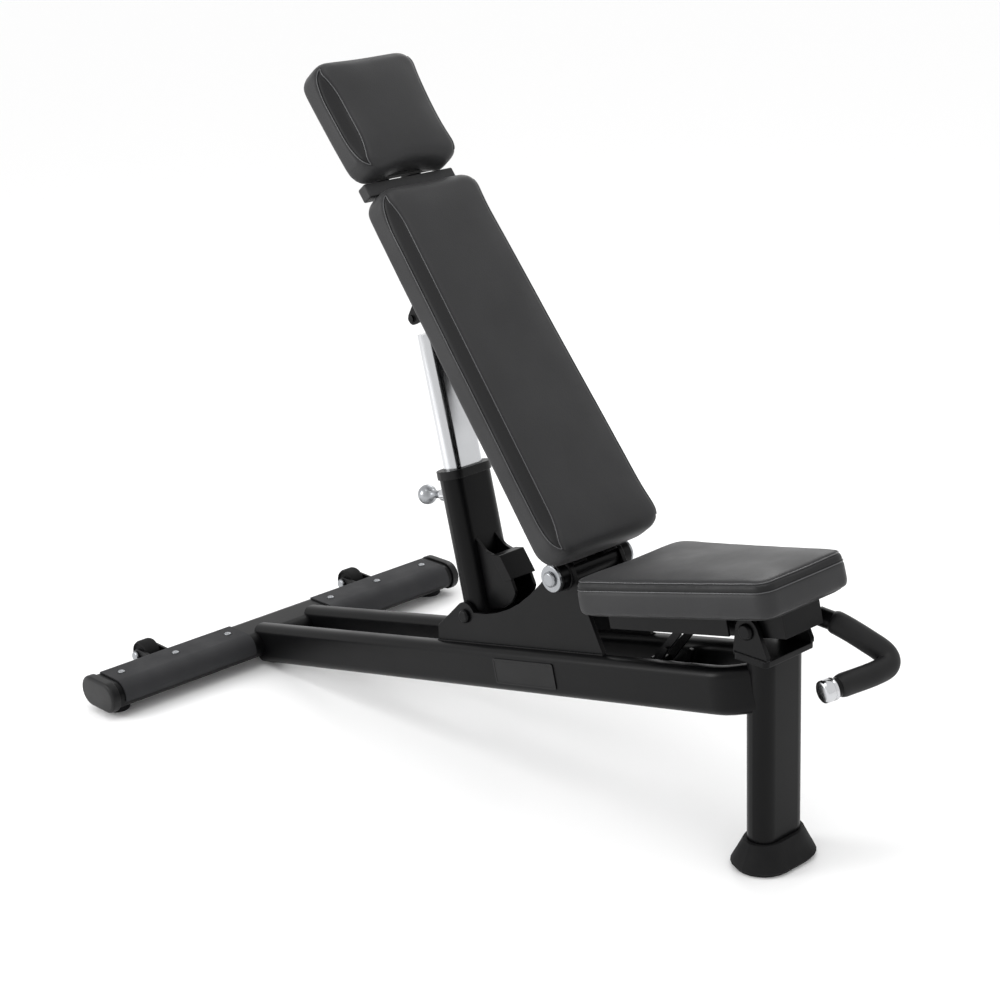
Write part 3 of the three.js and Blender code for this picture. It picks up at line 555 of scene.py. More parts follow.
@dataclass(frozen=True)
class Eased:
    """One node of the frame that keeps its shape and gets eased edges and a finish.

    Attributes:
        node: The frame's node.
        finish: Its finish.
        slot: The record's slot.
        edge: Radius of its eased edges, in millimetres.
    """

    node: str
    finish: Finish
    slot: str
    edge: float = 0.8


@dataclass
class Framework:
    """The welded frame and every small hard piece on it, as eased copies of their nodes.

    Attributes:
        shop: The workshop.
        sharp: Angle above which two faces meet in an edge, in degrees.
    """

    shop: Workshop
    sharp: float = 34.0

    def pieces(self) -> list[Eased]:
        """Lists the pieces with their finishes."""
        sides = ("left", "right")
        steel = ["front_post", "post_top_plate", "stabilizer_tube", "seat_rack", "strut_sleeve",
                 "rest_bracket", "back_hinge_tube", "back_cross", "seat_channel"]
        steel += [f"{name}_{side}" for side in sides for name in
                  ("seat_lug", "wheel_fork", "rail", "side_plate", "rack_prong", "back_rail", "clevis")]
        made = [Eased(node, POWDER, "paint") for node in steel]
        made += [Eased(f"{name}_{side}", POWDER, "paint", 1.4) for side in sides
                 for name in ("axle_housing", "strut_bolt")]
        made += [Eased(f"{name}_{side}", ZINC, "chrome", 1.0) for side in sides
                 for name in ("axle_washer", "axle_bolt")]
        made += [Eased(f"wheel_axle_{side}", ZINC, "chrome", 0.8) for side in sides]
        made += [Eased(node, POWDER, "paint", 1.0) for node in ("seat_pivot_bolt", "prop_link")]
        made += [Eased(node, CHROME, "chrome", 1.0) for node in ("pin_housing", "strut_bar")]
        made += [Eased("back_axle", ZINC, "chrome", 1.0), Eased("neck_board", VINYL, "vinyl", 3.0)]
        made += [Eased(f"{name}_{side}", RUBBER, "rubber", 1.2) for side in sides
                 for name in ("foot_pad", "wheel")]
        made += [Eased(f"end_cap_{side}", PLASTIC, "plastic", 1.2) for side in sides]
        made += [Eased(f"guard_{side}", GUARD, "guard", 1.0) for side in sides]
        made += [Eased("front_boot", RUBBER, "rubber", 2.0), Eased("sleeve_collar", PLASTIC, "plastic", 1.2)]
        made += [Eased(f"{name}_board", BACKING, "board", 1.5) for name in ("back", "head", "seat")]
        return made

    def eased(self, piece: Eased) -> bpy.types.Mesh:
        """Copies a node's mesh, merges it and rounds its edges.

        Args:
            piece: What to copy, and how much to ease it.

        Returns:
            The finished mesh, in place.
        """
        bm = bmesh.new()
        bm.from_mesh(self.shop.frame["nodes"][piece.node].data)
        bmesh.ops.remove_doubles(bm, verts=bm.verts[:], dist=0.01 * MM)
        bmesh.ops.dissolve_limit(bm, angle_limit=math.radians(0.6), verts=bm.verts[:], edges=bm.edges[:])
        holder = self.shop.piece(f"{piece.node}_blank", mesh_from(bm))
        bevel = holder.modifiers.new("ease", "BEVEL")
        bevel.width = piece.edge * MM
        bevel.segments = 2
        bevel.limit_method = "ANGLE"
        bevel.angle_limit = math.radians(self.sharp)
        bevel.use_clamp_overlap = True
        normals = holder.modifiers.new("weigh", "WEIGHTED_NORMAL")
        normals.keep_sharp = True
        return frozen(holder)

    def build(self) -> None:
        """Makes every piece and settles it."""
        for piece in self.pieces():
            made = self.shop.piece(f"{piece.node}_eased", self.eased(piece), piece.finish)
            self.shop.settle(made, self.shop.body_of(piece.node), piece.slot, piece.node)


@dataclass
class Fasteners:
    """The screws that hold the guards on the stabilizer bar.

    Attributes:
        shop: The workshop.
        screw_radius: Radius of a guard screw's head.
        screw_height: Height of its head.
        end_margin: From a guard's end to the nearest screw.
        per_guard: Screws on each guard.
        sunk: How far a head is sunk into its guard.
    """

    shop: Workshop
    screw_radius: float = 7.4 * MM
    screw_height: float = 2.2 * MM
    end_margin: float = 27 * MM
    per_guard: int = 3
    sunk: float = 0.1 * MM

    def build(self) -> None:
        """Sets the screws along the top of each guard."""
        tree = screw_tree()
        for side in ("left", "right"):
            low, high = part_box(f"guard_{side}")
            middle = centre_of("stabilizer_tube").x
            ends = (low.y + self.end_margin, high.y - self.end_margin)
            shares = [i / (self.per_guard - 1) for i in range(self.per_guard)]
            row = [Vector((middle, ends[0] + (ends[1] - ends[0]) * share, high.z - self.sunk))
                   for share in shares]
            mesh = grown([row], False, tree, Radius=self.screw_radius, Height=self.screw_height,
                         Facing=(0.0, 0.0, 1.0), Material=self.shop.material(ZINC))
            self.shop.settle(self.shop.piece(f"guard_screws_{side}", mesh), "frame", "chrome")


@dataclass
class Welds:
    """Fillets of weld beads where the frame's plates and tubes meet.

    Attributes:
        shop: The workshop.
        radius: Size of a bead.
        pitch: Distance from bead to bead.
        step: Distance between the points of a weld's path.
    """

    shop: Workshop
    radius: float = 2.3 * MM
    pitch: float = 2.4 * MM
    step: float = 4 * MM

    def on_rail(self, side: str) -> list[Vector]:
        """Returns the path along the foot of a side plate's outer face, on its rail."""
        low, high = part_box(f"side_plate_{side}")
        face = high.y if side == "left" else low.y
        out = math.copysign(0.6 * MM, face)
        rail = surface_of(self.shop.frame["nodes"][f"rail_{side}"])
        count = int((high.x - low.x) / self.step)
        path = []
        for i in range(count + 1):
            x = low.x + (high.x - low.x) * i / count
            hit = rail.ray_cast(Vector((x, face + out, high.z)), Vector((0, 0, -1)))[0]
            if hit is not None:
                path.append(hit)
        return path

    def round_axle(self, side: str) -> list[Vector]:
        """Returns the ring where an axle housing meets its plate."""
        low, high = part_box(f"axle_housing_{side}")
        centre = (low + high) / 2
        radius = (high.z - low.z) / 2
        y = low.y if side == "left" else high.y
        turns = [i * TAU / 60 for i in range(60)]
        return [Vector((centre.x + radius * math.cos(t), y, centre.z + radius * math.sin(t))) for t in turns]

    def round_post(self) -> list[Vector]:
        """Returns the flat-sided oval where the top plate sits on the post."""
        low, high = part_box("front_post")
        radius = (high.x - low.x) / 2
        straight = (high.y - low.y) / 2 - radius
        centre = (low + high) / 2
        path = []
        for i in range(72):
            turn = i * TAU / 72
            shift = math.copysign(straight, math.sin(turn))
            y = shift + radius * math.sin(turn)
            path.append(Vector((centre.x + radius * math.cos(turn), y, high.z)))
        return path

    def under_lug(self, side: str) -> list[Vector]:
        """Returns the line along the foot of a seat lug's outer face."""
        low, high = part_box(f"seat_lug_{side}")
        y = high.y if side == "left" else low.y
        return [Vector((low.x + 4 * MM, y, low.z)), Vector((high.x - 4 * MM, y, low.z))]

    def build(self) -> None:
        """Lays the beads, one piece for the open runs and one for the rings."""
        tree = bead_tree()
        sides = ("left", "right")
        runs = [path(side) for side in sides for path in (self.on_rail, self.under_lug)]
        rings = [self.round_axle(side) for side in sides] + [self.round_post()]
        for name, paths, closed in (("weld_runs", runs, False), ("weld_rings", rings, True)):
            mesh = grown(paths, closed, tree, Pitch=self.pitch, Radius=self.radius, Seed=7,
                         Material=self.shop.material(BEAD))
            self.shop.settle(self.shop.piece(name, mesh), "frame", "paint")


@dataclass
class PullPin:
    """The sprung pin of the strut, with its turned neck and round knob.

    Attributes:
        shop: The workshop.
        neck: Radius of the neck.
        knob: Radius of the knob.
        knob_length: Length of the knob along the pin.
        shank: Radius of the pin itself.
        hidden: Share of the knob's outline that its neck takes up.
        steps: Points along the knob's outline.
    """

    shop: Workshop
    neck: float = 8.0 * MM
    knob: float = 17.6 * MM
    knob_length: float = 34 * MM
    shank: float = 5.8 * MM
    hidden: float = 0.16
    steps: int = 20

    def reach(self, node: str, start: Vector, along: Vector) -> tuple[float, float]:
        """Measures a node along a line.

        Args:
            node: The frame's node.
            start: Where the line starts.
            along: The line's direction.

        Returns:
            Its least and its greatest distance.
        """
        vertices = self.shop.frame["nodes"][node].data.vertices
        reaches = [(vertex.co - start).dot(along) for vertex in vertices]
        return min(reaches), max(reaches)

    def build(self) -> None:
        """Turns the pin about the axis of its housing."""
        along = Vector(self.shop.joint("pin_pull")["axis"]).normalized()
        housing = centre_of("pin_housing")
        tip, end = self.reach("pull_pin", housing, along)
        collar = self.reach("pin_housing", housing, along)[1] + 0.4 * MM
        start = end - self.knob_length
        profile = [(tip, 0.5 * MM), (tip, 4 * MM), (tip + 2 * MM, self.shank), (collar, self.shank)]
        profile += [(collar + 0.2 * MM, self.neck), (collar + 5 * MM, self.neck)]
        profile += [(collar + 6 * MM, self.neck - MM), (start - 2 * MM, self.neck - 1.2 * MM)]
        profile.append((start + MM, self.neck))
        for i in range(1, self.steps):
            turn = math.pi * (self.hidden + (1 - self.hidden) * i / self.steps)
            share = 0.5 - 0.5 * math.cos(turn)
            size = max(self.knob * math.sin(turn), 0.6 * MM)
            profile.append((start + self.knob_length * share, size))
        profile.append((end, 0.5 * MM))
        piece = self.shop.piece("pull_pin_turned", lathed(profile, housing, along), ZINC)
        self.shop.settle(piece, "pull_pin", "chrome", "pull_pin")


@dataclass
class Handle:
    """The bent carrying handle beside the seat: a tube, a foam grip and a bright end cap.

    Attributes:
        shop: The workshop.
        route: Centre line from the seat pivot, in millimetres.
        tube: Radius of the tube.
        grip: Radius of the grip.
        covered: Where the grip starts and stops, as shares of the route.
        cap: The end cap's outline: how far along and how far in, in millimetres.
    """

    shop: Workshop
    route: tuple[tuple[float, float, float], ...] = (
        (35, 71, -3), (68, 80, -11), (107, 95, -31), (132, 107, -49), (144, 98, -61),
        (142, 70, -66), (126, 20, -72), (112, -22, -77),
    )
    tube: float = 15 * MM
    grip: float = 18.2 * MM
    covered: tuple[float, float] = (0.10, 0.905)
    cap: tuple[tuple[float, float], ...] = (
        (0, 2), (0.6, 0.4), (2, 0), (4.4, 0), (5, 0.8), (5.8, 0.8), (6.4, 0),
        (19, 0), (20.8, 0.7), (21.7, 2.2), (22, 4.5),
    )

    def centre_line(self, count: int = 90) -> list[Vector]:
        """Returns points along a smooth curve through the route.

        Args:
            count: Points on the curve.

        Returns:
            The points, in the row frame.
        """
        pivot = Vector(self.shop.joint("seat_tilt")["pos_m"])
        knots = [pivot + Vector(point) * MM for point in self.route]
        knots = [2 * knots[0] - knots[1], *knots, 2 * knots[-1] - knots[-2]]
        per_span = count // (len(knots) - 3)
        line = []
        for before, a, b, after in zip(knots, knots[1:], knots[2:], knots[3:]):
            for i in range(per_span):
                t = i / per_span
                line.append(0.5 * (2 * a + (b - before) * t + (2 * before - 5 * a + 4 * b - after) * t**2
                                   + (3 * a - before - 3 * b + after) * t**3))
        return [*line, knots[-2]]

    def grip_radius(self, share: float) -> float:
        """Returns the grip's radius at a share of its length: drawn in at its two ends."""
        near_end = min(share, 1 - share) / 0.035
        return self.grip - 2.2 * MM * max(0.0, 1 - near_end) ** 2

    def build(self) -> None:
        """Sweeps the tube and its grip, and turns the cap."""
        line = self.centre_line()
        last = len(line) - 1
        grip = line[round(self.covered[0] * last) : round(self.covered[1] * last)]
        inner = line[: round(0.97 * last)]
        tube = self.shop.piece("handle_tube_bent", swept(inner, lambda _: self.tube), POWDER)
        self.shop.settle(tube, "frame", "paint", "handle_tube")
        cover = self.shop.piece("handle_grip_foam", swept(grip, self.grip_radius), GRIP)
        self.shop.settle(cover, "frame", "rubber", "handle_grip")
        start = line[round(0.915 * last)]
        along = (line[last] - line[round(0.9 * last)]).normalized()
        outer = self.grip - 0.6 * MM
        profile = [(reach * MM, outer - inset * MM) for reach, inset in self.cap]
        profile.append((profile[-1][0], 1 * MM))
        cap = self.shop.piece("handle_cap_turned", lathed(profile, start, along), CHROME)
        self.shop.settle(cap, "frame", "chrome", "handle_cap")


@dataclass
class Badge:
    """A blank badge plate on the near rail, with a raised rim.

    Attributes:
        shop: The workshop.
        rim: Width of the rim.
        sunk: How far the field lies below the rim.
    """

    shop: Workshop
    rim: float = 3 * MM
    sunk: float = 0.6 * MM

    def build(self) -> None:
        """Copies the plate and sinks the field inside its rim."""
        bm = bmesh.new()
        bm.from_mesh(self.shop.frame["nodes"]["badge_plate"].data)
        bmesh.ops.remove_doubles(bm, verts=bm.verts[:], dist=0.01 * MM)
        bmesh.ops.dissolve_limit(bm, angle_limit=math.radians(0.6), verts=bm.verts[:], edges=bm.edges[:])
        front = min(bm.faces, key=lambda face: face.calc_center_median().y)
        bmesh.ops.inset_region(bm, faces=[front], thickness=self.rim)
        bmesh.ops.inset_region(bm, faces=[front], thickness=0.5 * MM, depth=-self.sunk)
        piece = self.shop.piece("badge_plate_blank", mesh_from(bm, smooth=False), PLASTIC)
        self.shop.settle(piece, "frame", "plastic", "badge_plate")


# ---- Cushions --------------------------------------------------------------------------------


class Sewing(Enum):
    """How a cover's top panel meets its side panels."""

    WRAPPED = "drawn over both ends, with a strip that runs to a point along each long side"
    BOXED = "a strip between two seams, all the way round"


@dataclass
class Cushion:
    """A foam cushion in a vinyl cover: side panel, strip between two piped seams, and top panel.

    Its own axes lie along the pad: u away from the head end, v across and w out of the leaned-on
    side, measured from the joint that its body turns on.

    Attributes:
        shop: The workshop.
        name: The pad's name, such as "seat".
        body: The body that it moves with.
        joint: The joint that gives its pivot.
        tilt: Degrees from level, as stored.
        sewing: How its panels meet.
        strip: Width and height of the strip between the seams.
        scoop: Depth of the hollow in its lower edge.
        crown: How far the middle of its top rises.
        slack: How much smaller the cover starts, before it swells.
        most: How far a point may move as it swells.
        voxel: Size of the cloth's cells.
        corner: Radius of its corners.
        welt: Radius of the piping.
        tip: From an end to the point of a wrapped cover's strip.
        point: Length over which that strip runs to its point.
        overhang: How far the foam stands proud of the frame's pad at its lower end.
        lifted: How far the cover's underside stays above its board's.
        hem: Its rounded lower edge: how far in and how far up, in millimetres.
        frames: Steps of the cloth simulation.
    """

    shop: Workshop
    name: str
    body: str
    joint: str
    tilt: float
    sewing: Sewing = Sewing.WRAPPED
    strip: tuple[float, float] = (19 * MM, 21 * MM)
    scoop: float = 0.0
    crown: float = 4 * MM
    slack: float = 1.2 * MM
    most: float = 4 * MM
    voxel: float = 5 * MM
    corner: float = 36 * MM
    welt: float = 0.95 * MM
    tip: float = 9 * MM
    point: float = 72 * MM
    overhang: float = 0.0
    lifted: float = 1.2 * MM
    hem: tuple[tuple[float, float], ...] = ((9, 0), (2.6, 2.6), (0, 9))
    frames: int = 20

    def __post_init__(self) -> None:
        """Measures the pad that the frame holds in the cushion's own axes."""
        self.turn = Matrix.Rotation(math.radians(self.tilt), 3, "Y")
        self.pivot = Vector(self.shop.joint(self.joint)["pos_m"])
        back = self.turn.inverted()
        points = [back @ (vertex.co - self.pivot) for vertex in self.pad_node().data.vertices]
        self.start, self.end = min(p.x for p in points), max(p.x for p in points)
        self.end += self.overhang
        self.base, self.top = min(p.z for p in points), max(p.z for p in points)
        middle = (self.start + self.end) / 2
        wide_low = max((p for p in points if p.x < middle), key=lambda p: p.y)
        wide_high = max((p for p in points if p.x > middle), key=lambda p: p.y)
        self.taper = (wide_high.y - wide_low.y) / (wide_high.x - wide_low.x)
        self.half_start = wide_low.y + self.taper * (self.start - wide_low.x)

    def pad_node(self) -> bpy.types.Object:
        """Returns the frame's plain pad."""
        return self.shop.frame["nodes"][f"{self.name}_pad"]

    def half_width(self, u: float) -> float:
        """Returns half the pad's width at a place along it."""
        return self.half_start + self.taper * (u - self.start)

    def outline(self, count: int = 240) -> list[tuple[Vector, Vector]]:
        """Walks round the pad's edge.

        Args:
            count: Points on the outline.

        Returns:
            Pairs of a point and the direction inwards, both flat in u and v.
        """
        rough = []
        ends = ((self.end, 0.0), (self.end, 0.25), (self.start, 0.5), (self.start, 0.75))
        signs = ((1, -1), (1, 1), (-1, 1), (-1, -1))
        for (u, share), (along, side) in zip(ends, signs):
            centre = Vector((u - along * self.corner, side * (self.half_width(u) - self.corner)))
            first = TAU * (share - 0.25)
            for i in range(13):
                angle = first + TAU / 4 * i / 12
                rough.append(centre + self.corner * Vector((math.cos(angle), math.sin(angle))))
        lengths = [0.0]
        for a, b in zip(rough, rough[1:] + rough[:1]):
            lengths.append(lengths[-1] + (b - a).length)
        points = []
        at = 0
        for i in range(count):
            want = lengths[-1] * i / count
            while lengths[at + 1] < want:
                at += 1
            a, b = rough[at], rough[(at + 1) % len(rough)]
            points.append(a.lerp(b, (want - lengths[at]) / max(lengths[at + 1] - lengths[at], 1e-9)))
        for point in points:
            near_end = max(0.0, 1 - (self.end - point.x) / (0.5 * self.corner))
            across = min(1.0, abs(point.y) / (self.half_width(self.end) - 0.6 * self.corner))
            point.x -= self.scoop * near_end**0.5 * math.cos(across * TAU / 4) ** 1.4
        walked = []
        for i, point in enumerate(points):
            heading = (points[(i + 1) % count] - points[i - 1]).normalized()
            walked.append((point, Vector((-heading.y, heading.x))))
        return walked

    def placed(self, u: float, v: float, w: float) -> Vector:
        """Returns a point of the cushion's own axes in the row frame."""
        return self.pivot + self.turn @ Vector((u, v, w))

    def opening(self, u: float, v: float) -> float:
        """Returns how far the strip is open at a place, from 0 to 1."""
        if self.sewing is Sewing.BOXED:
            return 1.0
        if abs(v) < 0.6 * self.half_width(u):
            return 0.0
        reach = min(u - self.start, self.end - u) - self.tip
        return math.sin(TAU / 4 * min(1.0, max(0.0, reach / self.point)))

    def shoulder(self, share: float, opening: float) -> tuple[float, float]:
        """Returns a place on the edge between the side panel and the top.

        Args:
            share: 0 at the side panel and 1 at the top panel.
            opening: How far the strip is open there: it is flatter than the round edge.

        Returns:
            The inset from the outline, and w.
        """
        wide, high = self.strip
        turn = share * TAU / 4
        flat = 0.7 * opening
        inset = (1 - flat) * (1 - math.cos(turn)) + flat * share
        rise = (1 - flat) * math.sin(turn) + flat * share
        return self.slack + wide * inset, self.top - self.slack - high * (1 - rise)

    def blank(self) -> bpy.types.Mesh:
        """Builds the cover before it swells, in the cushion's own axes."""
        base = self.base + self.lifted
        low = [(self.slack + inset * MM, base + rise * MM) for inset, rise in self.hem]
        walked = self.outline()
        rings = [[Vector((*(point + inset * inward), w)) for point, inward in walked] for inset, w in low]
        steps = 10
        for i in range(steps + 1):
            ring = []
            for point, inward in walked:
                inset, w = self.shoulder(i / steps, self.opening(point.x, point.y))
                ring.append(Vector((*(point + inset * inward), w)))
            rings.append(ring)
        return stack_of_rings(rings)

    def remeshed(self, mesh: bpy.types.Mesh) -> bpy.types.Object:
        """Returns an object of the mesh in even voxel cells."""
        holder = self.shop.piece(f"{self.name}_blank", mesh)
        voxels = holder.modifiers.new("cells", "REMESH")
        voxels.mode = "VOXEL"
        voxels.voxel_size = self.voxel
        return self.shop.piece(f"{self.name}_cells", frozen(holder))

    def rise(self, u: float, v: float) -> float:
        """Returns the crown of the top at a place, as a share of its full height."""
        along = (2 * u - self.start - self.end) / (self.end - self.start)
        across = v / self.half_width(u)
        return max(0.0, 1 - along**4) * max(0.0, 1 - across**2)

    @staticmethod
    def evened(mesh: bpy.types.Mesh, shifts: list[Vector], rounds: int = 30) -> list[Vector]:
        """Spreads each point's move over its neighbours, so that no crease is left.

        Args:
            mesh: The mesh whose edges join the neighbours.
            shifts: A move for each vertex.
            rounds: How often it is spread.

        Returns:
            The smooth moves.
        """
        joined = [tuple(edge.vertices) for edge in mesh.edges]
        counts = [1] * len(shifts)
        for a, b in joined:
            counts[a] += 1
            counts[b] += 1
        for _ in range(rounds):
            sums = [shift.copy() for shift in shifts]
            for a, b in joined:
                sums[a] += shifts[b]
                sums[b] += shifts[a]
            shifts = [total / count for total, count in zip(sums, counts)]
        return shifts

    def simulate(self, cover: bpy.types.Object) -> None:
        """Adds the cloth to a cover, blown up from inside and held at its base, and runs it."""
        held = cover.vertex_groups.new(name="held")
        floor = [vertex.index for vertex in cover.data.vertices if vertex.co.z < self.base + 10 * MM]
        held.add(floor, 1.0, "REPLACE")
        cloth = cover.modifiers.new("foam", "CLOTH")
        cloth.settings.use_pressure = True
        cloth.settings.uniform_pressure_force = 2.5
        cloth.settings.effector_weights.gravity = 0.0
        cloth.settings.vertex_group_mass = "held"
        cloth.settings.quality = 4
        cloth.settings.bending_stiffness = 4.0
        cloth.point_cache.frame_start = 1
        cloth.point_cache.frame_end = self.frames
        for step in range(1, self.frames + 1):
            bpy.context.scene.frame_set(step)

    def swell(self, cover: bpy.types.Object) -> bpy.types.Mesh:
        """Blows the cover up and limits how far it moves.

        Args:
            cover: The cover in even cells.

        Returns:
            The swollen mesh, still in the cushion's own axes.
        """
        rest = [vertex.co.copy() for vertex in cover.data.vertices]
        self.simulate(cover)
        mesh = frozen(cover)
        shifts = [vertex.co - before for vertex, before in zip(mesh.vertices, rest)]
        moved = max(shift.length for shift in shifts)
        if moved > 0:
            capped = [shift * min(1.0, self.most / max(shift.length, 1e-9)) for shift in shifts]
            shifts = self.evened(mesh, capped)
        for vertex, before, shift in zip(mesh.vertices, rest, shifts):
            above = before.z > (self.base + self.top) / 2
            lift = self.crown * self.rise(before.x, before.y) if above else 0.0
            vertex.co = before + shift + Vector((0, 0, lift))
        bpy.context.scene.frame_set(1)
        log.info("%s cover moved up to %.1f mm", self.name, moved / MM)
        return mesh

    def seams(self, cover: BVHTree) -> list[list[Vector]]:
        """Finds the closed seams on the swollen cover.

        Args:
            cover: The cover's faces, in the cushion's own axes.

        Returns:
            Closed paths: one loop round each strip, or the strip's two edges.
        """
        upper, lower = [], []
        walked = self.outline(360)
        for point, inward in walked:
            opening = self.opening(point.x, point.y)
            row = []
            for share in (0.5 + 0.5 * opening, 0.5 - 0.5 * opening):
                inset, w = self.shoulder(share, opening)
                row.append(cover.find_nearest(Vector((*(point + inset * inward), w)))[0])
            upper.append(row[0])
            lower.append(row[1])
        if self.sewing is Sewing.BOXED:
            return [self.smoothed(upper), self.smoothed(lower)]
        loops = []
        for side in (-1, 1):
            near = [i for i, (point, _) in enumerate(walked)
                    if point.y * side > 0 and self.opening(point.x, point.y) > 0]
            near.sort(key=lambda i: upper[i].x)
            loops.append(self.smoothed([upper[i] for i in near] + [lower[i] for i in reversed(near)]))
        return loops

    @staticmethod
    def smoothed(seam: list[Vector], rounds: int = 4) -> list[Vector]:
        """Returns a closed path with each point drawn towards its neighbours."""
        for _ in range(rounds):
            seam = [(seam[i - 1] + 2 * seam[i] + seam[(i + 1) % len(seam)]) / 4 for i in range(len(seam))]
        return seam

    def on_strip(self, point: Vector, edge: KDTree, walked: list[tuple[Vector, Vector]]) -> float:
        """Tells whether a point lies on the strip between the seams.

        Args:
            point: A point of the cover, in the cushion's own axes.
            edge: The outline's points.
            walked: The outline.

        Returns:
            1 on the strip, 0 off it, and between on its border.
        """
        wide, high = self.strip
        index = edge.find(Vector((point.x, point.y, 0)))[1]
        near, inward = walked[index]
        inset = (Vector((point.x, point.y)) - near).dot(inward) - self.slack
        climb = point.z - (self.top - self.slack - high)
        if climb <= 0 or inset > wide:
            return 0.0
        share = math.atan2(climb / high, max(1e-6, 1 - inset / wide)) / (TAU / 4)
        inside = 0.5 * self.opening(point.x, point.y) - abs(share - 0.5)
        return min(1.0, max(0.0, inside / 0.06))

    def sewn(self, mesh: bpy.types.Mesh, seams: list[list[Vector]]) -> None:
        """Draws the cover in along its seams and marks the strip between them for painted shade.

        Args:
            mesh: The fine cover, in the cushion's own axes, changed in place.
            seams: The closed seams.
        """
        knots = [point for seam in seams for point in seam]
        tree = KDTree(len(knots))
        for i, point in enumerate(knots):
            tree.insert(point, i)
        tree.balance()
        walked = self.outline(480)
        edge = KDTree(len(walked))
        for i, (point, _) in enumerate(walked):
            edge.insert(Vector((point.x, point.y, 0)), i)
        edge.balance()
        reach, depth = 6 * MM, 1.3 * MM
        marks, pulls = [], []
        for vertex in mesh.vertices:
            gap = tree.find(vertex.co)[2]
            pulls.append(depth * (1 - (gap / reach) ** 2) ** 2 if gap < reach else 0.0)
            marks.append(self.on_strip(vertex.co, edge, walked))
        normals = [vertex.normal.copy() for vertex in mesh.vertices]
        for vertex, pull, normal in zip(mesh.vertices, pulls, normals):
            vertex.co -= pull * normal
        # These marks paint shade on the strip through the vinyl's material.
        strip = mesh.attributes.new("strip", "FLOAT", "POINT")
        strip.data.foreach_set("value", marks)

    def build(self) -> None:
        """Makes the cover and its piping and settles both."""
        swollen = self.swell(self.remeshed(self.blank()))
        holder = self.shop.piece(f"{self.name}_swollen", swollen)
        even = holder.modifiers.new("even", "SMOOTH")
        even.factor = 0.5
        even.iterations = 3
        finer = holder.modifiers.new("finer", "SUBSURF")
        finer.levels = finer.render_levels = 1
        cover = frozen(holder)
        bm = bmesh.new()
        bm.from_mesh(cover)
        seams = self.seams(BVHTree.FromBMesh(bm))
        bm.free()
        self.sewn(cover, seams)
        cover.transform(Matrix.Translation(self.pivot) @ self.turn.to_4x4())
        cover.shade_smooth()
        cushion = self.shop.piece(f"{self.name}_cushion", cover, VINYL)
        paths = [[self.placed(*point) for point in seam] for seam in seams]
        piping = grown(paths, True, piping_tree(), Radius=self.welt, Material=self.shop.material(PIPING))
        self.shop.settle(cushion, self.body, "vinyl", f"{self.name}_pad")
        self.shop.settle(self.shop.piece(f"{self.name}_piping", piping), self.body, "vinyl")


# ---- Studio ----------------------------------------------------------------------------------


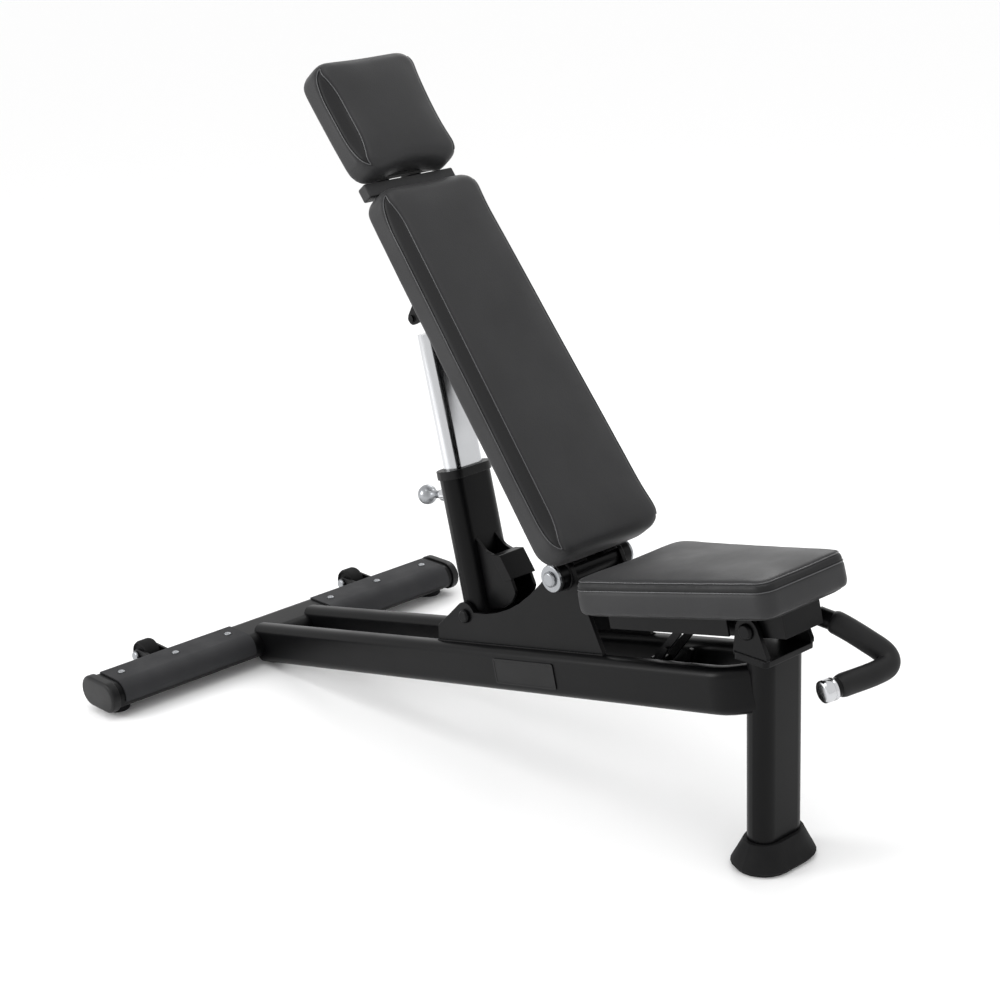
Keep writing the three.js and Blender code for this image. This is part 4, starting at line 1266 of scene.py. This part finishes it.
@dataclass
class Studio:
    """A pale floor, soft light and the camera.

    Attributes:
        aim: The point that the camera looks at.
        azimuth: Degrees round from the near side.
        elevation: Degrees above level.
        roll: Degrees that the camera is turned about its own line of sight.
        distance: From the camera to the point that it looks at.
        lens: Focal length on a 36 mm sensor, in millimetres.
    """

    aim: Vector = field(default_factory=lambda: Vector((0.0115, 0.0, 0.4549)))
    azimuth: float = 47.68
    elevation: float = 18.92
    roll: float = -2.35
    distance: float = 3.519
    lens: float = 75.13

    def camera(self) -> None:
        """Places the camera."""
        turn, rise, roll = (math.radians(angle) for angle in (self.azimuth, self.elevation, self.roll))
        back = Vector((math.sin(turn) * math.cos(rise), -math.cos(turn) * math.cos(rise), math.sin(rise)))
        right = Vector((math.cos(turn), math.sin(turn), 0.0))
        up = back.cross(right)
        across = math.cos(roll) * right + math.sin(roll) * up
        upward = math.cos(roll) * up - math.sin(roll) * right
        data = bpy.data.cameras.new("camera")
        data.lens = self.lens
        data.sensor_width = 36.0
        camera = bpy.data.objects.new("camera", data)
        place = Matrix((across, upward, back)).transposed().to_4x4()
        place.translation = self.aim + self.distance * back
        camera.matrix_world = place
        bpy.context.scene.collection.objects.link(camera)
        bpy.context.scene.camera = camera

    def panel(self, name: str, place: Vector, size: float, power: float, towards: Vector) -> None:
        """Hangs one soft light.

        Args:
            name: Its name.
            place: Where it hangs.
            size: The side of its square.
            power: Its power in watts.
            towards: The point that it faces.
        """
        data = bpy.data.lights.new(name, "AREA")
        data.energy = power
        data.size = size
        lamp = bpy.data.objects.new(name, data)
        lamp.location = place
        lamp.rotation_euler = (place - towards).to_track_quat("Z", "Y").to_euler()
        bpy.context.scene.collection.objects.link(lamp)

    def build(self) -> None:
        """Builds the floor, the world and the lights."""
        floor = bpy.data.meshes.new("floor")
        half = 14.0
        floor.from_pydata([(-half, -half, 0), (half, -half, 0), (half, half, 0), (-half, half, 0)], [],
                          [(0, 1, 2, 3)])
        ground = bpy.data.objects.new("floor", floor)
        pale = bpy.data.materials.new("pale studio paper")
        pale.use_nodes = True
        shader = pale.node_tree.nodes["Principled BSDF"]
        shader.inputs["Base Color"].default_value = linear("fdfdfd")
        shader.inputs["Roughness"].default_value = 0.9
        floor.materials.append(pale)
        bpy.context.scene.collection.objects.link(ground)
        world = bpy.data.worlds.new("studio")
        world.use_nodes = True
        sky = world.node_tree.nodes["Background"]
        sky.inputs["Color"].default_value = linear("ffffff")
        sky.inputs["Strength"].default_value = 1.0
        bpy.context.scene.world = world
        bpy.context.scene.view_settings.view_transform = "Standard"
        heart = Vector((0.0, 0.0, 0.5))
        self.panel("key", Vector((-1.7, -2.7, 1.5)), 1.6, 45, heart)
        self.panel("top", Vector((0.4, -0.4, 3.4)), 1.8, 22, heart)
        self.panel("rim", Vector((-1.6, 2.6, 2.2)), 1.4, 18, heart)
        self.camera()


# ---- The bench -------------------------------------------------------------------------------


def main() -> None:
    """Builds the bench and its studio around the frame."""
    logging.basicConfig(level=logging.INFO, format="%(name)s: %(message)s")
    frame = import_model()
    Studio().build()
    shop = Workshop(frame)
    Framework(shop).build()
    Fasteners(shop).build()
    Welds(shop).build()
    PullPin(shop).build()
    Handle(shop).build()
    Badge(shop).build()
    Cushion(shop, "back", "backrest", "back_recline", 52.0, overhang=8 * MM).build()
    Cushion(shop, "head", "backrest", "back_recline", 52.0, scoop=12 * MM).build()
    Cushion(shop, "seat", "seat", "seat_tilt", -12.5, Sewing.BOXED, strip=(5 * MM, 15 * MM),
            corner=27 * MM).build()


if __name__ == "__main__":
    main()
